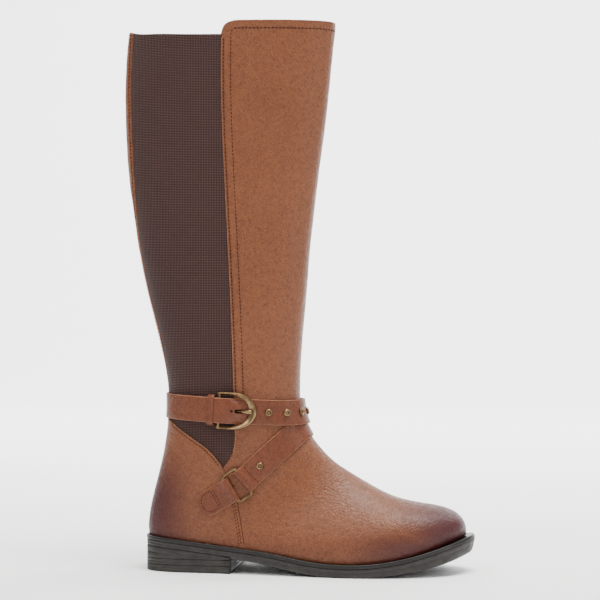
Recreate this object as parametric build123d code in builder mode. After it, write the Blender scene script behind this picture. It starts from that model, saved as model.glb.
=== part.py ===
from build123d import *
import math
import os

# A right-foot tall riding boot. Toe along +X, outer (lateral) side along -Y,
# inner (medial) side with the zip along +Y, +Z up, millimetres.
# The origin lies on the floor under the middle of the boot's box.

os.makedirs("parts", exist_ok=True)

# ---------------------------------------------------------------- driving sizes
LEATHER = 1.8  # shaft, vamp and quarter leather
MIDDLE_IN = 1.85  # interlining and stiffeners: depth of their outer and inner faces
MIDDLE_OUT = 2.75
LINING_IN = 2.8  # lining: depth of its outer and inner faces
LINING_OUT = 3.6
INSOLE_IN = 3.7  # insole and footbed stand this far inside the upper's face
SHAFT_TOP = 454.5  # front panel's top line
GORE_TOP = 442.4  # elastic's top line at the front panel
BACK_TOP = 450.0  # top of the back panel
REACH = 80  # side prisms reach this far from the middle plane

WELT = 3.2  # thickness of the welt
WELT_EDGE = 4.6  # the welt stands out this far beyond the upper
TOE_EDGE = 8.4  # and this far at the toe's tip
WELT_WIDTH = 11.0
SEAT = 5.0  # outsole thickness over the heel
HEEL_FRONT = -52.0

STRAP_HALF = 10.25  # half the width of all straps
STRAP_GAP = 0.25  # straps stand this far off the upper
STRAP = 1.8  # strap leather
ROD = 1.15  # radius of buckle bar and ring wire
FIT = 0.1  # running clearance of rods in leather loops

ZIP_X = -55.0
ZIP_BOTTOM = 64.0
ZIP_TOP = 446.0
SLIDER_Z = 438.0  # middle of the slider, zip closed

# Each row is one section through the boot, from the top of the shaft, round the
# ankle and along the foot to the toe. It gives the section's point on the back
# (under the foot: on the bottom) and its point on the front (on the foot: the
# instep), both in the middle plane; then half its width, its sideways shift,
# how square its back and front halves are, and where it is widest.
SECTIONS = (
    (-138.5, 480.0, 32.5, 480.0, 33.0, 0.0, 2.4, 2.3, 0.50),
    (-144.3, 448.0, 30.0, 448.0, 33.0, 0.0, 2.4, 2.3, 0.50),
    (-147.2, 412.0, 26.6, 412.0, 33.0, 0.0, 2.4, 2.3, 0.50),
    (-147.3, 372.0, 21.9, 372.0, 33.0, 0.0, 2.4, 2.3, 0.50),
    (-144.6, 330.0, 16.4, 330.0, 33.0, 0.0, 2.4, 2.3, 0.50),
    (-138.6, 286.0, 11.1, 286.0, 33.0, 0.0, 2.4, 2.3, 0.50),
    (-129.2, 236.0, 6.2, 236.0, 33.0, 0.0, 2.4, 2.3, 0.50),
    (-117.6, 190.0, 2.4, 190.0, 33.0, 0.0, 2.4, 2.3, 0.50),
    (-110.4, 150.0, 0.2, 151.0, 33.0, 0.0, 2.4, 2.3, 0.50),
    (-111.4, 116.0, 2.8, 128.0, 33.0, 0.0, 2.4, 2.3, 0.48),
    (-115.8, 88.0, 9.4, 112.8, 33.0, 0.0, 2.5, 2.2, 0.45),
    (-121.8, 64.0, 17.3, 102.2, 33.0, 0.0, 2.6, 2.2, 0.42),
    (-126.0, 42.0, 26.4, 93.0, 33.2, 0.0, 2.8, 2.1, 0.38),
    (-121.0, 22.0, 36.2, 85.4, 33.6, 0.0, 3.4, 2.1, 0.33),
    (-95.0, 16.0, 46.4, 78.9, 34.2, 0.0, 3.8, 2.1, 0.30),
    (-60.0, 14.0, 57.4, 72.5, 35.6, -0.8, 4.2, 2.1, 0.28),
    (-22.0, 11.0, 69.6, 66.1, 38.8, -2.0, 4.6, 2.1, 0.28),
    (15.0, 6.0, 82.4, 61.2, 42.6, -2.6, 4.6, 2.1, 0.28),
    (50.0, 4.0, 95.4, 58.0, 44.4, -2.0, 4.4, 2.1, 0.30),
    (82.0, 7.5, 107.8, 55.7, 42.0, -0.2, 4.0, 2.1, 0.32),
    (105.0, 13.5, 119.0, 53.2, 37.2, 1.4, 3.4, 2.2, 0.34),
    (121.0, 19.5, 128.4, 49.4, 29.4, 2.6, 3.0, 2.2, 0.36),
    (131.0, 24.5, 135.2, 43.6, 19.4, 3.6, 2.6, 2.2, 0.40),
    (136.3, 28.0, 138.3, 36.6, 9.6, 4.4, 2.2, 2.2, 0.45),
    (138.7, 31.0, 138.7, 31.0, 0.0, 4.8, 2.0, 2.0, 0.50),
)
LAST = len(SECTIONS) - 1
TOE_END = LAST - 0.6  # sections stop here, just short of the toe's pole
ANKLE_ROW = 10
TOE_END_INSIDE = LAST - 1.2

# Top of the welt and bottom of the sole, along the boot.
WELT_TOP = (
    (-150, 31.0), (-128, 29.4), (-100, 27.0), (-74, 24.2), (-51, 21.6), (-16, 17.4),
    (10, 12.8), (45, 10.4), (66, 11.4), (87, 14.6), (112, 20.9), (141, 30.2), (156, 34.6),
)
TREAD = (
    (-52, 11.5), (-33, 10.2), (-14, 6.6), (5, 3.0), (25, 0.6), (42, 0.0), (55, 0.0),
    (76, 1.4), (102, 5.4), (122, 10.2), (140, 16.0), (156, 21.4),
)

# Seams, in side view.
GORE_FRONT = (
    (-59, 470), (-60.2, 414), (-57.6, 330), (-53.6, 250), (-50.4, 172), (-48.8, 120),
    (-50.6, 99), (-58.8, 86.0),
)
GORE_BACK = ((-137, 470), (-140, 410), (-137.6, 330), (-128.5, 244), (-115, 190), (-108, 130))
QUARTER_TOP = ((-58.8, 86.0), (-71.4, 100.8), (-84, 109.4), (-106, 123.8), (-125, 136.5))
QUARTER_SEAM = ((-58.8, 86.0), (-50.6, 71.0), (-46.0, 54.0), (-38.0, 10.0))
VAMP_SEAM = ((-50.6, 71.0), (4.5, 121.2), (32.0, 146.0))


# ---------------------------------------------------------------- the last's surface
def natural_spline(values):
    """Second derivatives of the smooth curve through evenly spaced values."""
    count = len(values)
    upper = [0.0] * count
    bend = [0.0] * count
    for i in range(1, count - 1):
        pivot = 4.0 - upper[i - 1]
        upper[i] = 1.0 / pivot
        jump = 6.0 * (values[i + 1] - 2.0 * values[i] + values[i - 1])
        bend[i] = (jump - bend[i - 1]) / pivot
    for i in range(count - 2, 0, -1):
        bend[i] -= upper[i] * bend[i + 1]
    return bend


COLUMNS = [list(column) for column in zip(*SECTIONS)]
BENDS = [natural_spline(column) for column in COLUMNS]


def section_at(t):
    """All nine section values at a place between the rows of the table."""
    i = min(max(int(t), 0), LAST - 1)
    u = t - i
    v = 1.0 - u
    row = []
    for column, bend in zip(COLUMNS, BENDS):
        value = v * column[i] + u * column[i + 1]
        value += ((v**3 - v) * bend[i] + (u**3 - u) * bend[i + 1]) / 6.0
        row.append(value)
    return row


def superellipse(angle, power):
    """Unit point at this angle on a curve between a circle and a square."""
    c = math.cos(angle)
    s = math.sin(angle)
    reach = (abs(c) ** power + abs(s) ** power) ** (-1.0 / power)
    return c * reach, s * reach


def in_section(t, angle, depth=0.0):
    """Distance along the section's line and sideways; angle 0 is the front."""
    ax, az, bx, bz, half, shift, back_power, front_power, widest = section_at(t)
    length = math.hypot(bx - ax, bz - az)
    front = math.cos(angle) >= 0.0
    c, s = superellipse(angle, front_power if front else back_power)
    reach = length * ((1.0 - widest) if front else widest)
    return length * widest + c * (reach - depth), shift - s * (half - depth)


def surface(t, angle, depth=0.0):
    """Point on the boot's outer face, or at a depth inside it."""
    ax, az, bx, bz = section_at(t)[:4]
    length = max(math.hypot(bx - ax, bz - az), 1e-6)
    along, y = in_section(t, angle, depth)
    return (ax + (bx - ax) * along / length, y, az + (bz - az) * along / length)


def subtract(a, b):
    return (a[0] - b[0], a[1] - b[1], a[2] - b[2])


def dot(a, b):
    return a[0] * b[0] + a[1] * b[1] + a[2] * b[2]


def cross(a, b):
    return (
        a[1] * b[2] - a[2] * b[1],
        a[2] * b[0] - a[0] * b[2],
        a[0] * b[1] - a[1] * b[0],
    )


def unit(a):
    size = math.sqrt(dot(a, a))
    return (a[0] / size, a[1] / size, a[2] / size)


def along(point, direction, distance):
    return tuple(p + distance * d for p, d in zip(point, direction))


def outward(t, angle):
    """Outward unit normal of the face."""
    step = 0.01
    down = subtract(surface(t + step, angle), surface(t - step, angle))
    around = subtract(surface(t, angle + step), surface(t, angle - step))
    return unit(cross(around, down))


def meet_line(point, direction, t, angle):
    """Where a line meets the face: the distance along it, and t and angle there."""
    side = unit(cross(direction, (0.31, 0.17, 0.93)))
    other = cross(direction, side)
    step = 0.001
    for _ in range(12):
        here = subtract(surface(t, angle), point)
        by_t = subtract(surface(t + step, angle), surface(t, angle))
        by_angle = subtract(surface(t, angle + step), surface(t, angle))
        a, b = dot(by_t, side) / step, dot(by_angle, side) / step
        c, d = dot(by_t, other) / step, dot(by_angle, other) / step
        e, f = dot(here, side), dot(here, other)
        determinant = a * d - b * c
        t -= (d * e - b * f) / determinant
        angle -= (a * f - c * e) / determinant
        if abs(e) + abs(f) < 1e-7:
            break
    return dot(subtract(surface(t, angle), point), direction), t, angle


def on_plane(angle, normal, level):
    """The t where the face crosses a plane across the boot, at this angle."""
    low, high = 1.0, 18.0
    for _ in range(50):
        middle = (low + high) / 2
        if dot(surface(middle, angle), normal) > level:
            low = middle
        else:
            high = middle
    return (low + high) / 2


def angle_at_x(x, normal, level, outer=True):
    """The angle where a plane across the boot reaches this x, on one side."""
    low, high = 0.02, math.pi - 0.02
    for _ in range(50):
        middle = (low + high) / 2
        turn = middle if outer else 2 * math.pi - middle
        if surface(on_plane(turn, normal, level), turn)[0] > x:
            low = middle
        else:
            high = middle
    return middle if outer else 2 * math.pi - middle


def height(profile, x):
    """Height of a profile at x, straight between its points."""
    for (x0, z0), (x1, z1) in zip(profile, profile[1:]):
        if x <= x1:
            return z0 + (z1 - z0) * (x - x0) / (x1 - x0)
    return profile[-1][1]


# ---------------------------------------------------------------- solids: shared shapes
def section_plane(t):
    """Plane of a section: x along its line from back to front, y across the boot."""
    ax, az, bx, bz = section_at(t)[:4]
    line = unit((bx - ax, 0.0, bz - az))
    return Plane(origin=(ax, 0, az), x_dir=line, z_dir=cross(line, (0, 1, 0)))


def last_solid(depth, end):
    """The whole boot's outer shape, or the shape at a depth inside it."""
    half_turn = 14
    turns = [math.pi * i / half_turn for i in range(2 * half_turn)]
    with BuildPart() as body:
        for ring in [0.3] + list(range(1, math.ceil(end))) + [end]:
            with BuildSketch(section_plane(ring)):
                with BuildLine():
                    points = [in_section(ring, turn, depth) for turn in turns]
                    Spline(*points[: half_turn + 1])
                    Spline(*points[half_turn:], points[0])
                make_face()
        loft()
    return body.part


def inside_end(depth):
    """The deeper a layer lies, the earlier its sections stop at the toe."""
    return TOE_END_INSIDE - 0.1 * depth


def shell(outer_depth, inner_depth):
    """A layer of the upper between two depths, open on top, down to the welt."""
    with BuildPart() as layer:
        add(last_solid(outer_depth, TOE_END if outer_depth == 0 else inside_end(outer_depth)))
        add(last_solid(inner_depth, inside_end(inner_depth)), mode=Mode.SUBTRACT)
        add(under_welt(), mode=Mode.SUBTRACT)
    return layer.part


def outline_prism(lines, amount, both=False):
    """A prism across the boot from its side view; each line is a curve or straight."""
    with BuildPart() as prism:
        with BuildSketch(Plane.XZ):
            with BuildLine():
                for kind, points in lines:
                    if kind == "curve":
                        Spline(*points)
                    else:
                        Polyline(*points)
            make_face()
        extrude(amount=amount, both=both)
    return prism.part


FRONT = 175.0  # prisms end beyond the boot, in front, behind, below and above
BACK = -175.0
FLOOR = -20.0
SKY = 500.0


def under_welt(lift=0.0):
    """Everything under the welt's top face, raised by a lift."""
    points = [(x, z + lift) for x, z in WELT_TOP]
    edge = [points[-1], (FRONT, FLOOR), (BACK, FLOOR), points[0]]
    return outline_prism((("curve", points), ("line", edge)), REACH, both=True)


def piece_of(layer, region, *away):
    """The part of a layer inside a region, less what is cut away."""
    with BuildPart() as piece:
        add(layer)
        add(region, mode=Mode.INTERSECT)
        for solid in away:
            add(solid, mode=Mode.SUBTRACT)
    return piece


def carved(solid, *away):
    """A solid less what is cut away."""
    with BuildPart() as piece:
        add(solid)
        for tool in away:
            add(tool, mode=Mode.SUBTRACT)
    return piece


def save(piece, name):
    piece.part.label = name
    export_step(piece.part, f"parts/{name}.step")


# ---------------------------------------------------------------- upper: leather panels
leather = shell(0.0, LEATHER)

seam_end = QUARTER_SEAM[-1]
outer_edge = (("curve", GORE_FRONT), ("curve", QUARTER_SEAM))
to_front = [seam_end, (seam_end[0], FLOOR), (FRONT, FLOOR), (FRONT, 470), GORE_FRONT[0]]
to_back = [seam_end, (seam_end[0], FLOOR), (BACK, FLOOR), (BACK, 470), GORE_FRONT[0]]
outer_front = outline_prism((*outer_edge, ("line", to_front)), REACH)
outer_back = outline_prism((*outer_edge, ("line", to_back)), REACH)


def zip_edge(side):
    """The inner side's edge beside the zip, then the seam below it."""
    gap = 3.0 * side
    slot = [(ZIP_X + gap, 470), (ZIP_X + gap, ZIP_BOTTOM - 2), (ZIP_X, ZIP_BOTTOM - 5)]
    return slot + [(-46, 40), (-38, 10), (-38, FLOOR)]


inner_front = outline_prism(
    (("line", zip_edge(1) + [(FRONT, FLOOR), (FRONT, 470), zip_edge(1)[0]]),), -REACH
)
inner_back = outline_prism(
    (("line", zip_edge(-1) + [(BACK, FLOOR), (BACK, 470), zip_edge(-1)[0]]),), -REACH
)
vamp_line = [(-62.0, 60.6), VAMP_SEAM[1], (FRONT, 276.0)]
vamp_side = outline_prism(
    (("line", vamp_line + [(FRONT, FLOOR), (-62.0, FLOOR), vamp_line[0]]),), REACH, both=True
)
quarter_line = [(BACK, QUARTER_TOP[-1][1]), (BACK, FLOOR), (seam_end[0], FLOOR), seam_end]
quarter_side = outline_prism(
    (
        ("curve", QUARTER_SEAM),
        ("curve", QUARTER_TOP),
        ("line", [QUARTER_TOP[-1]] + quarter_line),
    ),
    REACH,
    both=True,
)
corner = [(-60.8, GORE_TOP), (-57.4, 450.9), (-48.4, SHAFT_TOP)]
above_front = outline_prism(
    (
        ("line", [(BACK, GORE_TOP), corner[0]]),
        ("curve", corner),
        ("line", [corner[-1], (FRONT, SHAFT_TOP), (FRONT, SKY), (BACK, SKY), (BACK, GORE_TOP)]),
    ),
    REACH,
    both=True,
)
back_line = [(-150, 451.0), (-143, BACK_TOP), (-136, 446.6), (-100, 443.6), (-59, GORE_TOP)]
above_back = outline_prism(
    (
        ("curve", back_line),
        ("line", [back_line[-1], (FRONT, GORE_TOP), (FRONT, SKY), (-150, SKY), back_line[0]]),
    ),
    REACH,
    both=True,
)
gore_area = outline_prism(
    (
        ("curve", GORE_BACK),
        ("line", [GORE_BACK[-1], (-108, 60), (-20, 60), (-20, 470), GORE_BACK[0]]),
    ),
    REACH,
)

with BuildPart() as front_area:
    add(outer_front)
    add(inner_front)
with BuildPart() as back_area:
    add(outer_back)
    add(gore_area, mode=Mode.SUBTRACT)
    add(inner_back)

shaft_front_panel = piece_of(leather, front_area.part, vamp_side, above_front)
save(shaft_front_panel, "shaft_front_panel")
vamp = piece_of(leather, front_area.part & vamp_side)
save(vamp, "vamp")
elastic_gore = piece_of(leather, outer_back & gore_area, quarter_side, above_back)
save(elastic_gore, "elastic_gore")
shaft_back_panel = piece_of(leather, back_area.part, quarter_side, above_back)
save(shaft_back_panel, "shaft_back_panel")
outer_quarter = piece_of(leather, outer_back & quarter_side)
save(outer_quarter, "outer_quarter")
inner_quarter = piece_of(leather, inner_back & quarter_side)
save(inner_quarter, "inner_quarter")

# ---------------------------------------------------------------- upper: inner layers
zip_window = [(ZIP_X - 10.5, 470), (ZIP_X - 10.5, 60), (ZIP_X + 10.5, 60), (ZIP_X + 10.5, 470)]
zip_window = outline_prism((("line", zip_window + [zip_window[0]]),), -REACH)
front_half = [(-44.5, 90), (-52, 330), (-55, 430), (-50, 451), (FRONT, 451), (FRONT, 90)]
back_half = [(BACK, 90), (BACK, 441), (ZIP_X - 10.5, 439), (ZIP_X - 10.5, 90), (BACK, 90)]
calf = [(-133, 455), (-133, 441), (-130, 330), (-120, 236), (-104, 178), (-100, 80), (-40, 80)]
calf += [(-40, 455), calf[0]]
ankle_line = [(BACK, 107.0), (FRONT, 124.0)]
shaft_side = outline_prism(
    (("line", ankle_line + [(FRONT, SKY), (BACK, SKY), ankle_line[0]]),), REACH, both=True
)
lining_front = outline_prism((("line", front_half + [front_half[0]]),), REACH, both=True)
lining_back = outline_prism((("line", back_half),), REACH, both=True)
gore_window = outline_prism((("line", calf),), REACH)
with BuildPart() as shaft_tube:
    add(last_solid(LINING_IN, ANKLE_ROW))
    add(last_solid(LINING_OUT, ANKLE_ROW), mode=Mode.SUBTRACT)
    add(shaft_side, mode=Mode.INTERSECT)
with BuildPart() as shaft_lining:
    add(piece_of(shaft_tube.part, lining_front, zip_window).part)
    add(piece_of(shaft_tube.part, lining_back, gore_window).part)
save(shaft_lining, "shaft_lining")
with BuildPart() as foot_lining:
    add(shell(LINING_IN, LINING_OUT))
    add(shaft_side, mode=Mode.SUBTRACT)
    add(zip_window, mode=Mode.SUBTRACT)
save(foot_lining, "foot_lining")

middle = shell(MIDDLE_IN, MIDDLE_OUT)
counter_area = [(-70, 10), (-62, 60), (-90, 88), (-150, 92), (-150, 10), (-70, 10)]
heel_counter = piece_of(
    middle, outline_prism((("line", counter_area),), REACH, both=True), zip_window
)
save(heel_counter, "heel_counter")
toe_area = [(96, 0), (104, 70), (150, 70), (150, 0), (96, 0)]
toe_puff = piece_of(middle, outline_prism((("line", toe_area),), REACH, both=True))
save(toe_puff, "toe_puff")

INSOLE = 2.2
FOOTBED = 4.0
inside = last_solid(INSOLE_IN, inside_end(INSOLE_IN))
insole_board = piece_of(inside, under_welt(INSOLE), under_welt(0.02))
save(insole_board, "insole_board")
footbed = piece_of(inside, under_welt(INSOLE + FOOTBED), under_welt(INSOLE + 0.05))
save(footbed, "footbed")


# ---------------------------------------------------------------- sole
def feather_point(t, outer):
    """Where the section meets the welt, on one side."""
    low, high = 0.5 * math.pi, math.pi
    for _ in range(40):
        middle = (low + high) / 2
        x, _, z = surface(t, middle)
        if z > height(WELT_TOP, x) + 1.0:
            low = middle
        else:
            high = middle
    turn = (low + high) / 2
    x, y, _ = surface(t, turn if outer else -turn)
    return x, y


def first_feather():
    """The section whose back point just reaches the welt."""
    low, high = 11.0, 14.0
    for _ in range(40):
        middle = (low + high) / 2
        x, _, z = surface(middle, math.pi)
        if z > height(WELT_TOP, x) + 1.0:
            low = middle
        else:
            high = middle
    return high


def feather_line(outer, count=90):
    """The upper's edge on the welt from the heel's back to the toe's tip."""
    start = first_feather()
    span = LAST - 0.02 - start
    points = [(surface(start, math.pi)[0], 0.0)]
    for i in range(1, count):
        u = i / (count - 1)
        points.append(feather_point(start + span * u * u * (2.0 - u), outer))
    points[-1] = (SECTIONS[-1][0], SECTIONS[-1][5])
    return points


def sole_edge(inset=0.0, count=15):
    """The sole's edge in plan, evenly spaced: outer side forward, inner side back."""
    loop = feather_line(True) + feather_line(False)[-2:0:-1]
    wide = []
    for i, (x, y) in enumerate(loop):
        x0, y0 = loop[i - 1]
        x1, y1 = loop[(i + 1) % len(loop)]
        size = math.hypot(x1 - x0, y1 - y0) or 1.0
        toe = min(max((x - 98.0) / 40.0, 0.0), 1.0)
        margin = WELT_EDGE + (TOE_EDGE - WELT_EDGE) * toe * toe - inset
        wide.append((x + (y1 - y0) / size * margin, y - (x1 - x0) / size * margin))
    halves = (wide[: len(wide) // 2 + 1], wide[len(wide) // 2 :] + wide[:1])
    return [spread(half, count) for half in halves]


def spread(points, count):
    """Points evenly spaced along a line of points."""
    lengths = [0.0]
    for a, b in zip(points, points[1:]):
        lengths.append(lengths[-1] + math.dist(a, b))
    result = []
    i = 0
    for k in range(count):
        target = lengths[-1] * k / (count - 1)
        while i < len(points) - 2 and lengths[i + 1] < target:
            i += 1
        share = (target - lengths[i]) / max(lengths[i + 1] - lengths[i], 1e-9)
        (x0, y0), (x1, y1) = points[i], points[i + 1]
        result.append((x0 + (x1 - x0) * share, y0 + (y1 - y0) * share))
    return result


def sole_prism(inset=0.0):
    """A prism of the sole's plan outline, drawn in by an inset."""
    outer, inner = sole_edge(inset)
    with BuildPart() as prism:
        with BuildSketch(Plane.XY.offset(-5)):
            with BuildLine():
                Spline(*outer)
                Spline(*inner[:-1], outer[0])
            make_face()
        extrude(amount=60)
    return prism.part


def layer_outline(top, bottom):
    """Side view of a sole layer between two heights below the welt's top face."""
    upper = [(x, z - top) for x, z in WELT_TOP]
    lower = [(x, z - bottom) for x, z in reversed(WELT_TOP)]
    ends = (("line", [upper[-1], lower[0]]), ("line", [lower[-1], upper[0]]))
    return (("curve", upper), ends[0], ("curve", lower), ends[1])


sole_body = sole_prism()
filler_body = sole_prism(WELT_WIDTH + 0.1)
welt_layer = outline_prism(layer_outline(0.0, WELT), REACH, both=True)
welt = piece_of(sole_body, welt_layer, sole_prism(WELT_WIDTH))
save(welt, "welt")

SHANK = (14.0, 1.2)
shank_layer = outline_prism(layer_outline(1.0, 1.0 + SHANK[1]), REACH, both=True)
with BuildPart() as shank_bar:
    with BuildSketch(Plane.XY.offset(-5)):
        with Locations((-42, 0)):
            RectangleRounded(112, SHANK[0], 5)
    extrude(amount=60)
steel_shank = piece_of(shank_bar.part, shank_layer)
save(steel_shank, "steel_shank")
cork_layer = outline_prism(layer_outline(0.02, WELT), REACH, both=True)
cork_filler = piece_of(filler_body, cork_layer, steel_shank.part)
save(cork_filler, "cork_filler")

seat = WELT + SEAT
seat_back = [(x, z - seat) for x, z in WELT_TOP if x < HEEL_FRONT]
seat_back = [(HEEL_FRONT, height(WELT_TOP, HEEL_FRONT) - seat)] + seat_back[::-1]
outsole_top = [(x, z - WELT) for x, z in WELT_TOP]
outsole_side = (
    ("curve", outsole_top),
    ("line", [outsole_top[-1], TREAD[-1]]),
    ("curve", TREAD),
    ("line", [TREAD[0], seat_back[0]] + seat_back[1:] + [outsole_top[0]]),
)
outsole = piece_of(sole_body, outline_prism(outsole_side, REACH, both=True))
save(outsole, "outsole")

heel_side = [(HEEL_FRONT, -5)] + seat_back + [(seat_back[-1][0], -5), (HEEL_FRONT, -5)]
heel_body = sole_body & outline_prism((("line", heel_side),), REACH, both=True)
NAIL_SPOTS = [(-115, 0), (-104, 17), (-104, -17), (-82, 22), (-82, -22), (-66, 0)]
with BuildPart() as heel_nails:
    with BuildSketch(Plane.XY.offset(3)):
        with Locations(*NAIL_SPOTS):
            Circle(1.1)
    extrude(amount=9)
save(heel_nails, "heel_nails")


def heel_slice(low, high, name):
    """One lift of the heel, between two heights."""
    with BuildPart() as block:
        with BuildSketch(Plane.XY.offset(low)):
            with Locations((-95, 0)):
                Rectangle(130, 130)
        extrude(amount=high - low)
    save(piece_of(heel_body, block.part, heel_nails.part), name)


heel_slice(0.0, 6.0, "heel_top_piece")
heel_slice(6.0, 11.0, "heel_lift")
heel_slice(11.0, 30.0, "heel_seat_wedge")


# ---------------------------------------------------------------- straps
def tilted(angle):
    """Unit normal of a plane across the boot whose side view rises at an angle."""
    turn = math.radians(angle)
    return (-math.sin(turn), 0.0, math.cos(turn))


ANKLE = (tilted(-2.8), dot(tilted(-2.8), (-43, 0, 132.9)))
RING_AT = (-46.7, 72.1)
RING_ANGLE = 35.0
RING_ALONG = 6.7  # ring wire's middle line: half its size along and across the strap
RING_ACROSS = 12.6
ring_step = (
    RING_ALONG * math.cos(math.radians(RING_ANGLE)),
    RING_ALONG * math.sin(math.radians(RING_ANGLE)),
)
cross_end = (RING_AT[0] + ring_step[0], 0, RING_AT[1] + ring_step[1])
tab_end = (RING_AT[0] - ring_step[0], 0, RING_AT[1] - ring_step[1])
CROSS = (tilted(43.5), dot(tilted(43.5), cross_end))
TAB = (tilted(31.0), dot(tilted(31.0), tab_end))

BAR_X = -62.0
BAR_OFF = 2.55  # the bar's middle stands this far off the upper


def blend_list(table, x):
    """Value at x from a list of (x, value), eased between its entries."""
    if x <= table[0][0]:
        return table[0][1]
    for (x0, v0), (x1, v1) in zip(table, table[1:]):
        if x <= x1:
            return v0 + (v1 - v0) * (x - x0) / (x1 - x0)
    return table[-1][1]


def strap_plane(angle, plane):
    """Section plane of a strap: x across the strap, y away from the boot."""
    normal, level = plane
    t = on_plane(angle, normal, level)
    out = outward(t, angle)
    share = dot(normal, out)
    across = unit(tuple(n - share * o for n, o in zip(normal, out)))
    here = surface(t, angle)
    return here, across, out, t


def ribbon(stations, plane):
    """A strap along the face. A station is angle, half width, inner and outer offset,
    and how much lower its edges lie than its middle."""
    with BuildPart() as strap:
        for angle, half, low, high, drop in stations:
            here, across, out, t = strap_plane(angle, plane)
            heights = []
            for a in (-half, 0.0, half):
                heights.append(meet_line(along(here, across, a), out, t, angle)[0])
            heights = [heights[0] - drop, heights[1], heights[2] - drop]
            inner = [(a, b + low) for a, b in zip((-half, 0.0, half), heights)]
            outer = [(a, b + high) for a, b in zip((half, 0.0, -half), heights[::-1])]
            with BuildSketch(Plane(origin=here, x_dir=across, z_dir=cross(across, out))):
                with BuildLine():
                    Spline(*inner)
                    Line(inner[-1], outer[0])
                    Spline(*outer)
                    Line(outer[-1], inner[0])
                make_face()
        loft(ruled=True)
    return strap.part


def evenly(start, end, step):
    count = max(int(abs(end - start) / step), 1)
    return [start + (end - start) * i / count for i in range(count + 1)]


def paced(start, end, plane, pace=4.5):
    """Angles from start to end, about one pace apart along the strap."""
    fine = evenly(start, end, 0.01)
    kept = [fine[0]]
    before = surface(on_plane(fine[0], *plane), fine[0])
    for angle in fine[1:-1]:
        here = surface(on_plane(angle, *plane), angle)
        if math.dist(here, before) >= pace:
            kept.append(angle)
            before = here
    return kept


def outer_angle(x, plane):
    return angle_at_x(x, *plane)


def inner_angle(x, plane):
    return -angle_at_x(x, *plane)


# Offsets of the studded strap's inner face along the outer side: over the buckle
# strap's end, over the bar and the prong, under the buckle's front, over the cross strap.
TOP_STRAP = (
    (-82.0, 2.35), (-76.0, 2.75), (-71.0, 3.6), (-67.0, 4.5), (-64.5, 4.95), (-61.5, 4.95),
    (-52.0, 4.75), (-47.5, 4.6), (-45.5, 3.9), (-43.5, 2.5), (-41.5, 1.1), (-40.0, 0.4),
    (-38.0, STRAP_GAP), (-20.0, STRAP_GAP), (-8.0, 2.45),
)
# How much lower the strap's edges lie, where they pass under the buckle's shoulders.
TOP_DROP = (
    (-56.0, 0.0), (-54.0, 0.5), (-52.0, 1.7), (-50.0, 3.1), (-48.0, 4.15), (-47.0, 4.25),
    (-45.5, 3.55), (-43.5, 2.15), (-41.5, 0.75), (-40.0, 0.1), (-38.0, 0.0),
)
CHAPE_OUT = (
    (-82.0, 2.05), (-76.0, 2.45), (-71.0, 3.3), (-67.0, 4.2), (-64.5, 4.65), (-61.5, 4.6),
    (-60.4, 4.1), (-59.8, 3.3),
)
CHAPE_IN = ((-62.0, STRAP_GAP), (-60.4, 0.9), (-59.8, 1.9))
SIDE_STOP = 8.5  # straps stop this far from the middle of the zip

buckle_xs = [-90, -84, -80, -77, -74, -71, -68.5, -66, -64, -62.5, -61.4, -60.4, -59.8]
stations = []
start = 2 * math.pi + inner_angle(ZIP_X - SIDE_STOP, ANKLE)
for angle in paced(start, outer_angle(-92, ANKLE), ANKLE):
    stations.append((angle, STRAP_HALF, STRAP_GAP, STRAP_GAP + STRAP, 0.0))
for x in buckle_xs:
    low, high = blend_list(CHAPE_IN, x), blend_list(CHAPE_OUT, x)
    stations.append((outer_angle(x, ANKLE), STRAP_HALF, low, high, 0.0))
buckle_ribbon = ribbon(stations, ANKLE)

tip_xs = [(-91, 10.25), (-95, 10.1), (-98, 9.2), (-100, 7.4), (-101.2, 5.0), (-101.9, 2.6)]
stations = []
for angle in paced(inner_angle(ZIP_X + SIDE_STOP, ANKLE), outer_angle(-24, ANKLE), ANKLE):
    x = surface(on_plane(angle, *ANKLE), angle)[0]
    low = blend_list(TOP_STRAP, x)
    stations.append((angle, STRAP_HALF, low, low + STRAP, 0.0))
for x in (-26, -31, -35, -38, -40, -41.5, -43.5, -45.5, -47, -48, -50, -52, -54, -56, -60,
          -62.5, -65, -67.5, -70.5, -74, -78, -82, -86.5):
    low, drop = blend_list(TOP_STRAP, x), blend_list(TOP_DROP, x)
    stations.append((outer_angle(x, ANKLE), STRAP_HALF, low, low + STRAP, drop))
tip_low = TOP_STRAP[0][1]
for x, half in tip_xs:
    stations.append((outer_angle(x, ANKLE), half, tip_low, tip_low + STRAP, 0.0))
studded_ribbon = ribbon(stations, ANKLE)

LOOP_TOP = ((-8.0, STRAP_GAP + STRAP), (-5.0, 2.7), (-2.5, 4.3), (0.0, 4.6), (1.8, 4.2), (2.7, 3.3))
LOOP_LOW = ((0.6, STRAP_GAP), (1.8, 1.0), (2.7, 1.9))


def loop_stations(end_x, direction, plane, lengths):
    """Stations where a strap thickens round the ring's wire; lengths along the strap."""
    share = math.hypot(plane[0][2], 0.0)
    result = []
    for length in lengths:
        x = end_x - direction * length * share
        low, high = blend_list(LOOP_LOW, length), blend_list(LOOP_TOP, length)
        result.append((outer_angle(x, plane), STRAP_HALF, low, high, 0.0))
    return result


flat = (STRAP_HALF, STRAP_GAP, STRAP_GAP + STRAP, 0.0)
stations = []
for angle in paced(inner_angle(ZIP_X + SIDE_STOP, CROSS), outer_angle(-33, CROSS), CROSS):
    stations.append((angle, *flat))
loop_lengths = (-8.0, -5.0, -2.5, -1.0, 0.6, 1.8, 2.7)
stations += loop_stations(cross_end[0], 1, CROSS, loop_lengths)
cross_ribbon = ribbon(stations, CROSS)

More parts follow.
